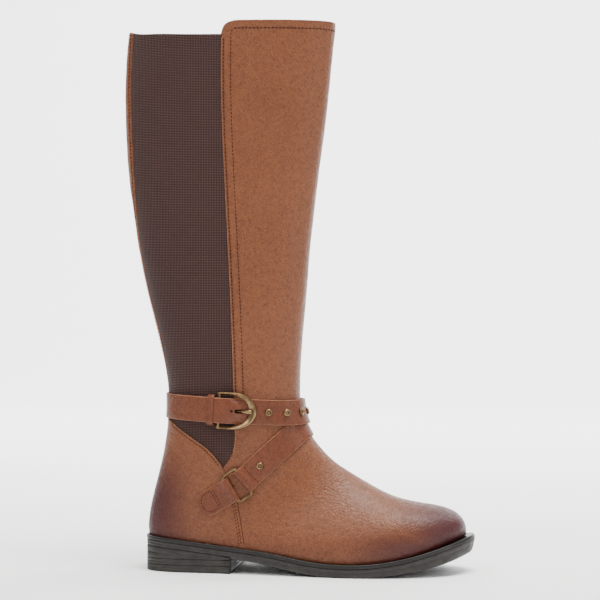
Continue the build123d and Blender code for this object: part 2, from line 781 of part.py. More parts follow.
stations = [
    (outer_angle(x, TAB), half, STRAP_GAP, STRAP_GAP + STRAP, 0.0)
    for x, half in ((-77.2, 5.0), (-76.4, 7.4), (-74.8, 9.0), (-72.5, 9.9), (-69, 10.2), (-64, 10.25))
]
stations += loop_stations(tab_end[0], -1, TAB, loop_lengths)
tab_ribbon = ribbon(stations, TAB)


# ---------------------------------------------------------------- buckle
bar_angle = outer_angle(BAR_X, ANKLE)
bar_foot = surface(on_plane(bar_angle, *ANKLE), bar_angle)
far_angle = outer_angle(BAR_X + 31.0, ANKLE)
far_foot = surface(on_plane(far_angle, *ANKLE), far_angle)
buckle_x = unit(subtract(far_foot, bar_foot))
buckle_out = unit(cross(buckle_x, ANKLE[0]))
buckle_up = cross(buckle_out, buckle_x)
buckle_face = Plane(origin=bar_foot, x_dir=buckle_x, z_dir=buckle_out)
buckle_side = Plane(origin=bar_foot, x_dir=buckle_x, z_dir=cross(buckle_x, buckle_out))


def face_height(x):
    """Height of the boot's face over the buckle's own ground line."""
    point = along(bar_foot, buckle_x, x)
    angle = outer_angle(point[0], ANKLE)
    return meet_line(point, buckle_out, on_plane(angle, *ANKLE), angle)[0]


def side_profile(low, high, across):
    """A bar across the strap whose side view lies between two lines of points."""
    with BuildPart() as solid:
        with BuildSketch(buckle_side):
            with BuildLine():
                Spline(*low)
                Line(low[-1], high[-1])
                Spline(*high)
                Line(high[0], low[0])
            make_face()
        extrude(amount=across, both=True)
    return solid.part


FRAME_FRONT = 31.4  # the buckle's front, ahead of its bar
FRAME_HALF = 15.5
LEG = 3.1
FRAME_LOW = ((-2.2, 1.35), (6.0, 1.35), (14.0, 2.4), (20.0, 2.6), (32.5, 2.5))
FRAME_THICK = ((-2.2, 2.4), (18.0, 2.4), (32.5, 2.6))
frame_xs = (-2.6, 2.0, 8.0, 14.0, 20.0, 26.0, 33.0)
frame_low = [(x, face_height(x) + blend_list(FRAME_LOW, x)) for x in frame_xs]
frame_high = [
    (x, face_height(x) + blend_list(FRAME_LOW, x) + blend_list(FRAME_THICK, x)) for x in frame_xs
]
frame_slab = side_profile(frame_low, frame_high, FRAME_HALF + 2)
with BuildPart() as buckle_bar:
    with BuildSketch(Plane(along(bar_foot, buckle_out, BAR_OFF), x_dir=buckle_x, z_dir=buckle_up)):
        Circle(ROD)
    extrude(amount=FRAME_HALF - 0.6, both=True)

with BuildPart() as buckle_frame:
    with BuildSketch(buckle_face):
        with BuildLine():
            Polyline((9, -FRAME_HALF), (-2.0, -FRAME_HALF + 0.6), (-2.0, -FRAME_HALF + LEG))
            Line((-2.0, -FRAME_HALF + LEG), (12, -FRAME_HALF + LEG))
            Spline((12, -FRAME_HALF + LEG), (21.6, -8.4), (25.2, 0), (21.6, 8.4),
                   (12, FRAME_HALF - LEG), tangents=((1, 0), (-1, 0)))
            Line((12, FRAME_HALF - LEG), (-2.0, FRAME_HALF - LEG))
            Polyline((-2.0, FRAME_HALF - LEG), (-2.0, FRAME_HALF - 0.6), (9, FRAME_HALF))
            Spline((9, FRAME_HALF), (25.6, 11.2), (FRAME_FRONT, 0), (25.6, -11.2),
                   (9, -FRAME_HALF), tangents=((1, 0), (-1, 0)))
        make_face()
    extrude(amount=14, both=True)
    add(frame_slab, mode=Mode.INTERSECT)
    add(buckle_bar.part, mode=Mode.SUBTRACT)
save(buckle_frame, "buckle_frame")
save(buckle_bar, "buckle_bar")

PRONG_HALF = 1.3
EYE = 2.15
tip_x = FRAME_FRONT - 2.6
rest = max(face_height(x) for x in (25.2, 27.0, tip_x)) + 2.6 + 2.6 + 0.15
# The prong runs under the strap, then rises through its slot onto the buckle's front.
arm_low = [(0.4, 1.55), (8.0, 1.75), (14.0, 2.0), (19.5, 3.4), (24.2, rest)]
arm_high = [(26.2, rest + 1.9), (23.0, rest + 1.2), (18.4, 4.8), (13.2, 3.6), (8.0, 3.3), (0.4, 3.6)]
with BuildPart() as buckle_prong:
    with BuildSketch(buckle_side):
        with Locations((0, BAR_OFF)):
            Circle(EYE)
        with BuildLine():
            Spline(*arm_low)
            Polyline(arm_low[-1], (tip_x, rest), (tip_x + 0.5, rest + 0.6), (tip_x - 0.4, rest + 1.6),
                     arm_high[0])
            Spline(*arm_high)
            Line(arm_high[-1], arm_low[0])
        make_face()
        with Locations((0, BAR_OFF)):
            Circle(ROD + 0.08, mode=Mode.SUBTRACT)
    extrude(amount=PRONG_HALF, both=True)
save(buckle_prong, "buckle_prong")

with BuildPart() as chape_holes:
    with BuildSketch(Plane(along(bar_foot, buckle_out, BAR_OFF), x_dir=buckle_x, z_dir=buckle_up)):
        Circle(ROD + FIT)
    extrude(amount=FRAME_HALF, both=True)
    with BuildSketch(buckle_face):
        Rectangle(7.2, 2 * PRONG_HALF + 0.8)
    extrude(amount=8, both=True)
with BuildPart() as prong_slot:
    with BuildSketch(buckle_face):
        with Locations((19.0, 0)):
            SlotOverall(11.0, 2 * PRONG_HALF + 0.8)
        with Locations((11.0, 0)):
            Circle(1.1)
    extrude(amount=12)
buckle_strap = carved(buckle_ribbon, chape_holes.part)
save(buckle_strap, "buckle_strap")
studded_strap = carved(studded_ribbon, prong_slot.part)
save(studded_strap, "studded_strap")

KEEPER = (-8.6, -3.2)
KEEPER_WALL = 1.1


def over_straps(x):
    """Height just over both layers of strap, beside the buckle's bar."""
    return face_height(x) + blend_list(TOP_STRAP, BAR_X + x) + STRAP + 0.5


keeper_xs = (KEEPER[0], -6.8, -5.0, KEEPER[1])
room_xs = (KEEPER[0] - 1.0, *keeper_xs[1:3], KEEPER[1] + 1.0)
keeper_low = [(x, face_height(x) + 0.35) for x in keeper_xs]
keeper_high = [(x, over_straps(x) + KEEPER_WALL) for x in keeper_xs]
room_low = [(x, face_height(x) - 1.0) for x in room_xs]
room_high = [(x, over_straps(x)) for x in room_xs]
with BuildPart() as strap_keeper:
    add(side_profile(keeper_low, keeper_high, STRAP_HALF + 0.45 + KEEPER_WALL))
    add(side_profile(room_low, room_high, STRAP_HALF + 0.45), mode=Mode.SUBTRACT)
save(strap_keeper, "strap_keeper")


# ---------------------------------------------------------------- studs
def arc_steps(angles, plane, offset):
    """Length along a strap's middle at each angle."""
    total = 0.0
    result = [0.0]
    before = None
    for angle in angles:
        here, _, out, _ = strap_plane(angle, plane)
        point = along(here, out, offset)
        if before is not None:
            total += math.dist(point, before)
            result.append(total)
        before = point
    return result


STUD = 2.8
STUD_PITCH = 15.0
STUD_LIFT = 0.3


def stud_on(angle, plane, offset):
    """Place on a strap's outer face for a stud."""
    here, across, out, _ = strap_plane(angle, plane)
    return Plane(origin=along(here, out, offset + STUD_LIFT), x_dir=across, z_dir=out)


def stud(place):
    with BuildPart() as dome:
        with BuildSketch(Plane(place.origin, x_dir=place.x_dir, z_dir=-place.y_dir)):
            with BuildLine():
                Polyline((0, 0), (STUD, 0), (STUD, 0.7), (2.2, 1.5))
                Spline((2.2, 1.5), (1.7, 1.55), (1.35, 1.2), (0, 1.35))
                Line((0, 1.35), (0, 0))
            make_face()
        revolve(axis=Axis(place.origin, place.z_dir))
    return dome.part


first_stud = outer_angle(-21.7, ANKLE)
walk = evenly(first_stud, inner_angle(-34.0, ANKLE), 0.01)
reach = arc_steps(walk, ANKLE, 2.5)
with BuildPart() as strap_studs:
    for number in range(7):
        target = number * STUD_PITCH
        if target <= reach[-1]:
            turn = walk[min(range(len(reach)), key=lambda i: abs(reach[i] - target))]
            x = surface(on_plane(turn, *ANKLE), turn)[0]
            add(stud(stud_on(turn, ANKLE, blend_list(TOP_STRAP, x) + STRAP)))
save(strap_studs, "strap_studs")

with BuildPart() as cross_strap_stud:
    add(stud(stud_on(outer_angle(-28.3, CROSS), CROSS, STRAP_GAP + STRAP)))
save(cross_strap_stud, "cross_strap_stud")


# ---------------------------------------------------------------- ring, cross strap, tab
RING_PLANE = (tilted(RING_ANGLE), dot(tilted(RING_ANGLE), (RING_AT[0], 0, RING_AT[1])))
ring_foot, ring_across, ring_out, _ = strap_plane(outer_angle(RING_AT[0], RING_PLANE), RING_PLANE)
ring_middle = along(ring_foot, ring_out, BAR_OFF + 0.1)
ring_place = Plane(origin=ring_middle, x_dir=ring_across, z_dir=ring_out)
with BuildPart() as strap_ring:
    with BuildSketch(ring_place.offset(-ROD)):
        RectangleRounded(2 * (RING_ACROSS + ROD), 2 * (RING_ALONG + ROD), 3.0)
        RectangleRounded(2 * (RING_ACROSS - ROD), 2 * (RING_ALONG - ROD), 1.6, mode=Mode.SUBTRACT)
    extrude(amount=2 * ROD)
    fillet(strap_ring.faces().filter_by(ring_place).edges(), 0.75)
save(strap_ring, "strap_ring")

with BuildPart() as ring_room:
    with BuildSketch(ring_place.offset(-ROD - FIT)):
        RectangleRounded(2 * (RING_ACROSS + ROD + FIT), 2 * (RING_ALONG + ROD + FIT), 3.0)
        RectangleRounded(2 * (RING_ACROSS - ROD - FIT), 2 * (RING_ALONG - ROD - FIT), 1.5,
                         mode=Mode.SUBTRACT)
    extrude(amount=2 * (ROD + FIT))
cross_strap = carved(cross_ribbon, ring_room.part)
save(cross_strap, "cross_strap")
heel_tab = carved(tab_ribbon, ring_room.part)
save(heel_tab, "heel_tab")


# ---------------------------------------------------------------- zip
TAPE_WIDTH = 8.6
TAPE_Y = 29.7
COIL_Y = 30.55
COIL = (1.7, 1.7)
TEETH_GAP = 0.5
zip_middle = (ZIP_BOTTOM + ZIP_TOP) / 2
zip_length = ZIP_TOP - ZIP_BOTTOM


def box(x, y, z, size_x, size_y, size_z):
    """A block whose middle is at x and z and whose lowest face across is at y."""
    with BuildPart() as block:
        with BuildSketch(Plane.XY.offset(z - size_z / 2)):
            with Locations((x, y + size_y / 2)):
                Rectangle(size_x, size_y)
        extrude(amount=size_z)
    return block


for side, name in ((1, "front"), (-1, "rear")):
    x = ZIP_X + side * (TEETH_GAP + TAPE_WIDTH / 2)
    save(box(x, TAPE_Y, zip_middle, TAPE_WIDTH, 0.8, zip_length), f"zip_tape_{name}")
    x = ZIP_X + side * (TEETH_GAP + COIL[0] / 2)
    save(box(x, COIL_Y, zip_middle - 1, COIL[0], COIL[1], zip_length - 8), f"zip_coil_{name}")

with BuildPart() as zip_stops:
    for x in (ZIP_X - 1.4, ZIP_X + 1.4):
        add(box(x, COIL_Y, ZIP_TOP - 1.6, 1.8, 1.9, 2.6).part)
    add(box(ZIP_X, COIL_Y, ZIP_BOTTOM + 1.4, 4.6, 1.9, 2.4).part)
save(zip_stops, "zip_stops")

OUTER_PLATE = 33.15
INNER_PLATE = 28.2
PLATE = 1.2
BAIL_TOP = 37.9
PIN_Y = 35.8
PIN_R = 0.6
with BuildPart() as zip_slider:
    add(box(ZIP_X, OUTER_PLATE, SLIDER_Z, 7.6, PLATE, 11.0).part)
    add(box(ZIP_X, INNER_PLATE, SLIDER_Z, 7.6, PLATE, 11.0).part)
    add(box(ZIP_X, INNER_PLATE, SLIDER_Z + 4.2, 0.7, OUTER_PLATE + PLATE - INNER_PLATE, 2.4).part)
    for z in (SLIDER_Z + 4.0, SLIDER_Z - 4.0):
        add(box(ZIP_X, OUTER_PLATE + PLATE, z, 2.0, BAIL_TOP - OUTER_PLATE - PLATE, 1.2).part)
    add(box(ZIP_X, BAIL_TOP - 0.9, SLIDER_Z, 2.0, 0.9, 9.2).part)
save(zip_slider, "zip_slider")

PULL_Z = SLIDER_Z + 1.0
PULL_LENGTH = 25.0
with BuildPart() as zip_pull:
    with BuildSketch(Plane.YZ.offset(ZIP_X)):
        with Locations((PIN_Y, PULL_Z)):
            Circle(PIN_R)
    extrude(amount=2.9, both=True)
    with BuildSketch(Plane.XZ.offset(-PIN_Y)):
        for side in (-1, 1):
            with Locations((ZIP_X + side * 2.1, PULL_Z - 3.2)):
                Rectangle(1.4, 6.6)
        with Locations((ZIP_X, PULL_Z - 6.0 - (PULL_LENGTH - 6.0) / 2)):
            RectangleRounded(6.2, PULL_LENGTH - 6.0, 2.2)
        with Locations((ZIP_X, PULL_Z - PULL_LENGTH + 4.0)):
            Circle(1.4, mode=Mode.SUBTRACT)
    extrude(amount=0.6, both=True)
save(zip_pull, "zip_pull")
save(box(ZIP_X - 1.5, 26.6, zip_middle, 24.0, 1.0, zip_length - 4), "zip_guard")
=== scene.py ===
"""A tall riding boot: its final look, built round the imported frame."""

import math

import bpy
import numpy as np
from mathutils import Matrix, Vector
from mathutils.kdtree import KDTree


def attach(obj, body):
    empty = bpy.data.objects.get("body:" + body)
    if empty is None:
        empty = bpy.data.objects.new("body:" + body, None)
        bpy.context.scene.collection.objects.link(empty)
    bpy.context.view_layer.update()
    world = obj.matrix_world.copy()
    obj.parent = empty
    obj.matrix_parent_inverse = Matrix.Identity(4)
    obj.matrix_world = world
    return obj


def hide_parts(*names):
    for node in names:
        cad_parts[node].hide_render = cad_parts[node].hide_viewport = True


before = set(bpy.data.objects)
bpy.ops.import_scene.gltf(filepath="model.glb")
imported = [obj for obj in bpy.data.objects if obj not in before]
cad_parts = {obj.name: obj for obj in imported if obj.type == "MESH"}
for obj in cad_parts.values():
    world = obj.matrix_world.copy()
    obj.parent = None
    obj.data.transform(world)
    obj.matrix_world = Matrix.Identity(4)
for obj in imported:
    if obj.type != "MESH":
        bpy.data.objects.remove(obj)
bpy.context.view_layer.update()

MM = 0.001
TAU = 2.0 * math.pi

# ---------------------------------------------------------------- sizes, in millimetres
# leather's thickness; a strap's half width, thickness and clearance over the boot
LEATHER = 1.8
STRAP_HALF = 10.25
STRAP = 1.8
STRAP_GAP = 0.25
# the middle of the zip, and how far from it the leather, its stitching, the lining and the
# straps stop
ZIP_X = -55.0
ZIP_GAP = 3.0
ZIP_ROW = 5.4
ZIP_LINING = 10.5
ZIP_STRAP = 8.5
SHAFT_TOP = 454.5
GORE_TOP = 443.2
# the welt's thickness, how far it stands out at the side and at the toe, and the heel's front
WELT = 3.2
WELT_EDGE = 4.6
TOE_EDGE = 8.4
HEEL_FRONT = -52.0

# Sections of the boot, from above the top line down the leg and out to the toe: back x and z,
# front x and z, half width, shift, back and front roundness, and the widest place's share.
SECTIONS = np.array(
    (
        (-138.5, 480.0, 32.5, 480.0, 33.0, 0.0, 2.4, 2.3, 0.50),
        (-144.3, 448.0, 30.0, 448.0, 33.0, 0.0, 2.4, 2.3, 0.50),
        (-147.2, 412.0, 26.6, 412.0, 33.0, 0.0, 2.4, 2.3, 0.50),
        (-147.3, 372.0, 21.9, 372.0, 33.0, 0.0, 2.4, 2.3, 0.50),
        (-144.6, 330.0, 16.4, 330.0, 33.0, 0.0, 2.4, 2.3, 0.50),
        (-138.6, 286.0, 11.1, 286.0, 33.0, 0.0, 2.4, 2.3, 0.50),
        (-129.2, 236.0, 6.2, 236.0, 33.0, 0.0, 2.4, 2.3, 0.50),
        (-117.6, 190.0, 2.4, 190.0, 33.0, 0.0, 2.4, 2.3, 0.50),
        (-110.4, 150.0, 0.2, 151.0, 33.0, 0.0, 2.4, 2.3, 0.50),
        (-111.4, 116.0, 2.8, 128.0, 33.0, 0.0, 2.4, 2.3, 0.48),
        (-115.8, 88.0, 9.4, 112.8, 33.0, 0.0, 2.5, 2.2, 0.45),
        (-121.8, 64.0, 17.3, 102.2, 33.0, 0.0, 2.6, 2.2, 0.42),
        (-126.0, 42.0, 26.4, 93.0, 33.2, 0.0, 2.8, 2.1, 0.38),
        (-121.0, 22.0, 36.2, 85.4, 33.6, 0.0, 3.4, 2.1, 0.33),
        (-95.0, 16.0, 46.4, 78.9, 34.2, 0.0, 3.8, 2.1, 0.30),
        (-60.0, 14.0, 57.4, 72.5, 35.6, -0.8, 4.2, 2.1, 0.28),
        (-22.0, 11.0, 69.6, 66.1, 38.8, -2.0, 4.6, 2.1, 0.28),
        (15.0, 6.0, 82.4, 61.2, 42.6, -2.6, 4.6, 2.1, 0.28),
        (50.0, 4.0, 95.4, 58.0, 44.4, -2.0, 4.4, 2.1, 0.30),
        (82.0, 7.5, 107.8, 55.7, 42.0, -0.2, 4.0, 2.1, 0.32),
        (105.0, 13.5, 119.0, 53.2, 37.2, 1.4, 3.4, 2.2, 0.34),
        (121.0, 19.5, 128.4, 49.4, 29.4, 2.6, 3.0, 2.2, 0.36),
        (131.0, 24.5, 135.2, 43.6, 19.4, 3.6, 2.6, 2.2, 0.40),
        (136.3, 28.0, 138.3, 36.6, 9.6, 4.4, 2.2, 2.2, 0.45),
        (138.7, 31.0, 138.7, 31.0, 0.0, 4.8, 2.0, 2.0, 0.50),
    )
)
LAST = len(SECTIONS) - 1

# side-view curves, as x and z: the welt's top, the underside, the borders of the elastic, the
# top and the front seam of the quarter, and the top of the vamp
WELT_TOP = np.array(
    (
        (-150, 31.0), (-128, 29.4), (-100, 27.0), (-74, 24.2), (-51, 21.6), (-16, 17.4),
        (10, 12.8), (45, 10.4), (66, 11.4), (87, 14.6), (112, 20.9), (141, 30.2), (156, 34.6),
    )
)
TREAD = np.array(
    (
        (-55, 11.6), (-33, 10.2), (-14, 6.6), (5, 3.0), (25, 0.6), (42, 0.0), (55, 0.0),
        (76, 1.4), (102, 5.4), (122, 10.2), (140, 16.0), (156, 21.4),
    )
)
GORE_FRONT = np.array(
    (
        (-59, 470), (-60.2, 414), (-57.6, 330), (-53.6, 250), (-50.4, 172), (-48.8, 120),
        (-50.6, 99), (-58.8, 86),
    )
)
GORE_BACK = np.array(
    ((-137, 470), (-140, 410), (-137.6, 330), (-128.5, 244), (-115, 190), (-108, 130))
)
QUARTER_TOP = np.array(((-58.8, 86), (-71.4, 100.8), (-84, 109.4), (-106, 123.8), (-125, 136.5)))
QUARTER_SEAM = np.array(((-58.8, 86), (-50.6, 71), (-46, 54), (-38, 10)))
VAMP_SEAM = np.array(((-50.6, 71), (4.5, 121.2)))


# ---------------------------------------------------------------- curves through points
def bends_of(points, steps):
    """Second derivatives of the smooth curve through points that are some steps apart."""
    system = np.eye(len(points))
    right = np.zeros(points.shape)
    for i in range(1, len(points) - 1):
        a, b = steps[i - 1], steps[i]
        system[i, i - 1 : i + 2] = (a, 2.0 * (a + b), b)
        right[i] = 6.0 * ((points[i + 1] - points[i]) / b - (points[i] - points[i - 1]) / a)
    return np.linalg.solve(system, right)


def on_curve(points, bends, i, u, h):
    """The smooth curve at a share u of the step h that follows point i."""
    v = 1.0 - u
    bend = (v**3 - v) * bends[i] + (u**3 - u) * bends[i + 1]
    return v * points[i] + u * points[i + 1] + h * h * bend / 6.0


BENDS = bends_of(SECTIONS, np.ones(LAST))


def section_at(t):
    """The row of the section at each t, between the listed ones."""
    i = np.clip(np.floor(t).astype(int), 0, LAST - 1)
    return on_curve(SECTIONS, BENDS, i, (t - i)[..., None], 1.0)


def curve_through(points, count):
    """Points evenly spaced by length along a smooth curve through some points."""
    points = np.asarray(points, float)
    steps = np.linalg.norm(np.diff(points, axis=0), axis=1)
    knots = np.concatenate(([0.0], np.cumsum(steps)))
    at = np.linspace(0.0, knots[-1], 60 * len(points))
    i = np.clip(np.searchsorted(knots, at, side="right") - 1, 0, len(points) - 2)
    h = steps[i][:, None]
    u = ((at - knots[i])[:, None]) / h
    return resample(on_curve(points, bends_of(points, steps), i, u, h), count)


def lengths(line):
    """How far along a line each of its points is."""
    return np.concatenate(([0.0], np.cumsum(np.linalg.norm(np.diff(line, axis=0), axis=1))))


def at_length(line, at, where):
    """A line's columns at some places along it, given each point's own place."""
    return np.stack([np.interp(where, at, column) for column in np.transpose(line)], axis=-1)


def resample(line, count):
    """Points evenly spaced by length along a line of points."""
    at = lengths(line)
    return at_length(line, at, np.linspace(0.0, 1.0, count) * at[-1])


def cut_between(line, low, high, axis=1):
    """The stretch of a line between two values of one coordinate, ends exact."""
    values = line[:, axis]
    if values[0] > values[-1]:
        return cut_between(line[::-1], low, high, axis)[::-1]
    inside = (values > low) & (values < high)
    ends = at_length(line, values, (low, high))
    return np.vstack((ends[0], line[inside], ends[1]))


def downwards(line):
    """A side-view line that starts at its higher end."""
    return line if line[0, 1] > line[-1, 1] else line[::-1]


def together(*values):
    """Coordinates stacked into points; a single number serves for all of them."""
    return np.stack(np.broadcast_arrays(*values), axis=-1).astype(float)


def straight(start, end, count):
    """Evenly spaced points between two ends."""
    return together(np.linspace(start[0], end[0], count), np.linspace(start[1], end[1], count))


# ---------------------------------------------------------------- the boot's outer face
def on_face(t, angle, lift=0.0):
    """Points of the outer face; angle 0 is the front and a quarter turn the outer side."""
    t, angle = np.broadcast_arrays(np.asarray(t, float), np.asarray(angle, float))
    row = section_at(t)
    ax, az, bx, bz, half, shift, back, front, widest = np.moveaxis(row, -1, 0)
    length = np.maximum(np.hypot(bx - ax, bz - az), 1e-6)
    cosine = np.cos(angle)
    sine = np.sin(angle)
    power = np.where(cosine >= 0.0, front, back)
    reach = (np.abs(cosine) ** power + np.abs(sine) ** power) ** (-1.0 / power)
    share = np.where(cosine >= 0.0, 1.0 - widest, widest)
    run = length * widest + cosine * reach * (length * share + lift)
    y = shift - sine * reach * (half + lift)
    return np.stack((ax + (bx - ax) * run / length, y, az + (bz - az) * run / length), axis=-1)


def unit(v):
    return v / np.maximum(np.linalg.norm(v, axis=-1, keepdims=True), 1e-12)


def normal_at(t, angle):
    """Outward normal of the outer face."""
    t, angle = np.broadcast_arrays(np.asarray(t, float), np.asarray(angle, float))
    step = 0.004
    t = np.clip(t, 0.0, LAST - 0.05)
    down = on_face(t + step, angle) - on_face(t - step, angle)
    around = on_face(t, angle + step) - on_face(t, angle - step)
    return unit(np.cross(around, down))


def find_t(value, low, high):
    """The place where a falling function crosses zero, for many places at once."""
    low = np.array(low, float)
    high = np.array(high, float)
    for _ in range(46):
        middle = (low + high) / 2.0
        above = value(middle) > 0.0
        low = np.where(above, middle, low)
        high = np.where(above, high, middle)
    return (low + high) / 2.0


def side_view(x, z, side=1.0):
    """t and angle of the face's point seen at x and z from one side; 1 is the outer side."""
    x, z = np.broadcast_arrays(np.asarray(x, float), np.asarray(z, float))

    def over(t):
        row = section_at(t)
        ax, az, bx, bz = (row[..., k] for k in range(4))
        return -((bx - ax) * (z - az) - (bz - az) * (x - ax))

    t = find_t(over, np.zeros(x.shape), np.full(x.shape, LAST - 0.02))
    row = section_at(t)
    ax, az, bx, bz, _, _, back, front, widest = np.moveaxis(row, -1, 0)
    length = np.maximum(np.hypot(bx - ax, bz - az), 1e-6)
    run = ((x - ax) * (bx - ax) + (z - az) * (bz - az)) / length
    run = run - length * widest
    share = np.where(run >= 0.0, 1.0 - widest, widest)
    power = np.where(run >= 0.0, front, back)
    c = np.clip(run / (length * share), -1.0, 1.0)
    s = np.maximum(1.0 - np.abs(c) ** power, 0.0) ** (1.0 / power)
    return t, side * np.arctan2(s, c)


def at_level(angle, normal, level, low=0.3, high=18.0):
    """The t where the face crosses a plane, at each angle."""
    angle = np.asarray(angle, float)

    def above(t):
        return on_face(t, angle) @ np.asarray(normal) - level

    # the face falls as t grows, so the plane is crossed once
    return find_t(above, np.full(angle.shape, low), np.full(angle.shape, high))


# ---------------------------------------------------------------- mesh building
def once_round(count):
    """Angles once round."""
    return np.linspace(0.0, TAU, count, endpoint=False)


def circles(centres, across, out, radius, count):
    """A circle of points round each centre, in the plane of its two directions."""
    turn = once_round(count)[:, None]
    across, out = (np.broadcast_to(v, centres.shape)[:, None] for v in (across, out))
    return centres[:, None] + radius * (np.cos(turn) * across + np.sin(turn) * out)


def bare_object(name, points, faces):
    """An object from points in millimetres, on no body of the frame."""
    mesh = bpy.data.meshes.new(name)
    mesh.from_pydata((np.asarray(points) * MM).tolist(), [], [list(map(int, f)) for f in faces])
    made = bpy.data.objects.new(name, mesh)
    bpy.context.scene.collection.objects.link(made)
    return made


def new_object(name, points, faces, body, *materials, indices=None):
    """A smooth object from points in millimetres that rides on a body of the frame."""
    made = bare_object(name, points, faces)
    mesh = made.data
    mesh.validate()
    for material in materials:
        mesh.materials.append(material)
    if indices is not None:
        mesh.polygons.foreach_set("material_index", np.asarray(indices, dtype=np.int32))
    mesh.polygons.foreach_set("use_smooth", np.full(len(mesh.polygons), True))
    mesh.update()
    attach(made, body)
    return made


def grid_faces(rows, columns, first=0, closed=False, flip=False):
    """Quads of a grid of points laid out row by row."""
    steps = columns if closed else columns - 1
    i, j = np.meshgrid(np.arange(rows - 1), np.arange(steps), indexing="ij")
    a = first + i * columns + j
    b = first + i * columns + (j + 1) % columns
    quads = np.stack((a, b, b + columns, a + columns), axis=-1).reshape(-1, 4)
    return quads[:, ::-1] if flip else quads


def rim_of(rows, columns):
    """The grid's border points in order, once round."""
    top = np.arange(columns)
    right = np.arange(1, rows) * columns + columns - 1
    bottom = (rows - 1) * columns + np.arange(columns - 2, -1, -1)
    left = np.arange(rows - 2, 0, -1) * columns
    return np.concatenate((top, right, bottom, left))


def slab(outer, inner):
    """Points and faces of a closed sheet between two grids of the same shape."""
    rows, columns = outer.shape[:2]
    count = rows * columns
    points = np.vstack((outer.reshape(-1, 3), inner.reshape(-1, 3)))
    rim = rim_of(rows, columns)
    after = np.roll(rim, -1)
    wall = np.stack((rim, rim + count, after + count, after), axis=-1)
    faces = np.vstack(
        (grid_faces(rows, columns), grid_faces(rows, columns, count, flip=True), wall)
    )
    return points, faces


def tube(rings):
    """Points and faces of a closed tube through rings of points, shape (rings, points, 3)."""
    count, around = rings.shape[:2]
    faces = grid_faces(count, around, closed=True).tolist()
    last = (count - 1) * around
    faces += [list(range(around))[::-1], [last + k for k in range(around)]]
    return rings.reshape(-1, 3), faces


def hoop(rings):
    """Points and faces of a tube that closes on itself."""
    points = rings.reshape(-1, 3)
    return points, grid_faces(len(rings) + 1, rings.shape[1], closed=True) % len(points)


def join(parts):
    """Points and faces of several meshes as one."""
    points, faces, first = [], [], 0
    for some, quads in parts:
        points.append(some)
        faces.extend([[first + int(k) for k in quad] for quad in quads])
        first += len(some)
    return np.vstack(points), faces


def lattice(seed):
    """A smooth random field over space: a function of points in millimetres."""
    waves = np.random.default_rng(seed)
    direction = unit(waves.normal(size=(18, 3)))
    phase = waves.uniform(0.0, TAU, 18)
    pitch = waves.uniform(0.75, 1.45, 18)

    def field(points, size):
        turns = points @ (direction * pitch[:, None]).T * (TAU / size) + phase
        return np.sin(turns).sum(axis=-1) / 4.2

    return field


waviness = lattice(11)
fine_waves = lattice(12)


# ---------------------------------------------------------------- leather panels
def by_length(line, shares):
    """Places along a line of (t, angle), at shares of its length over the face."""
    line = np.asarray(line, float)
    at = lengths(on_face(*line.T))
    return at_length(line, at / at[-1], shares)


def patch(top, bottom, left, right, across, down):
    """A grid of points and normals of the face, filled in between four border lines."""
    u = across[None, :, None]
    v = down[:, None, None]
    top, bottom = by_length(top, across)[None], by_length(bottom, across)[None]
    left, right = by_length(left, down)[:, None], by_length(right, down)[:, None]
    sides = (1 - v) * top + v * bottom + (1 - u) * left + u * right
    corners = (1 - u) * (1 - v) * top[:, :1] + u * (1 - v) * top[:, -1:]
    corners = corners + (1 - u) * v * bottom[:, :1] + u * v * bottom[:, -1:]
    places = np.moveaxis(sides - corners, -1, 0)
    return on_face(*places), normal_at(*places)


def graded(size, near_start, near_end, pitch, fine=0.45, soft=(0.0, 0.12, 0.35, 0.7)):
    """Shares of a length, close together near its ends and a pitch apart between."""
    start = list(soft) + list(np.arange(soft[-1] + fine, near_start, fine))
    end = list(soft) + list(np.arange(soft[-1] + fine, near_end, fine))
    between = int((size - start[-1] - end[-1]) / pitch)
    middle = np.linspace(start[-1], size - end[-1], max(between, 2) + 1)
    places = start + list(middle[1:-1]) + [size - e for e in reversed(end)]
    return np.array(places) / size


def near(points, line):
    """Distance of each point from a line of points."""
    tree = KDTree(len(line))
    for k, p in enumerate(line):
        tree.insert(Vector(p), k)
    tree.balance()
    flat = points.reshape(-1, 3)
    return np.array([tree.find(Vector(p))[2] for p in flat]).reshape(points.shape[:-1])


def dense(line_ta, pitch=0.3):
    """A line of (t, angle) as close places, a pitch apart on the face."""
    count = max(int(lengths(on_face(*line_ta.T))[-1] / pitch), 2)
    return by_length(line_ta, np.linspace(0.0, 1.0, count)).T


# how sewing draws the leather in: depth and width of the dip, and the swell beside it with its
# distance from the thread; then heights and lengths of the leather's slow and fine waves
DIP, DIP_WIDTH = 0.30, 0.75
SWELL, SWELL_AT = 0.12, 1.9
SLOW_WAVE, SLOW_LENGTH = 0.22, 58.0
FINE_WAVE, FINE_LENGTH = 0.05, 13.0


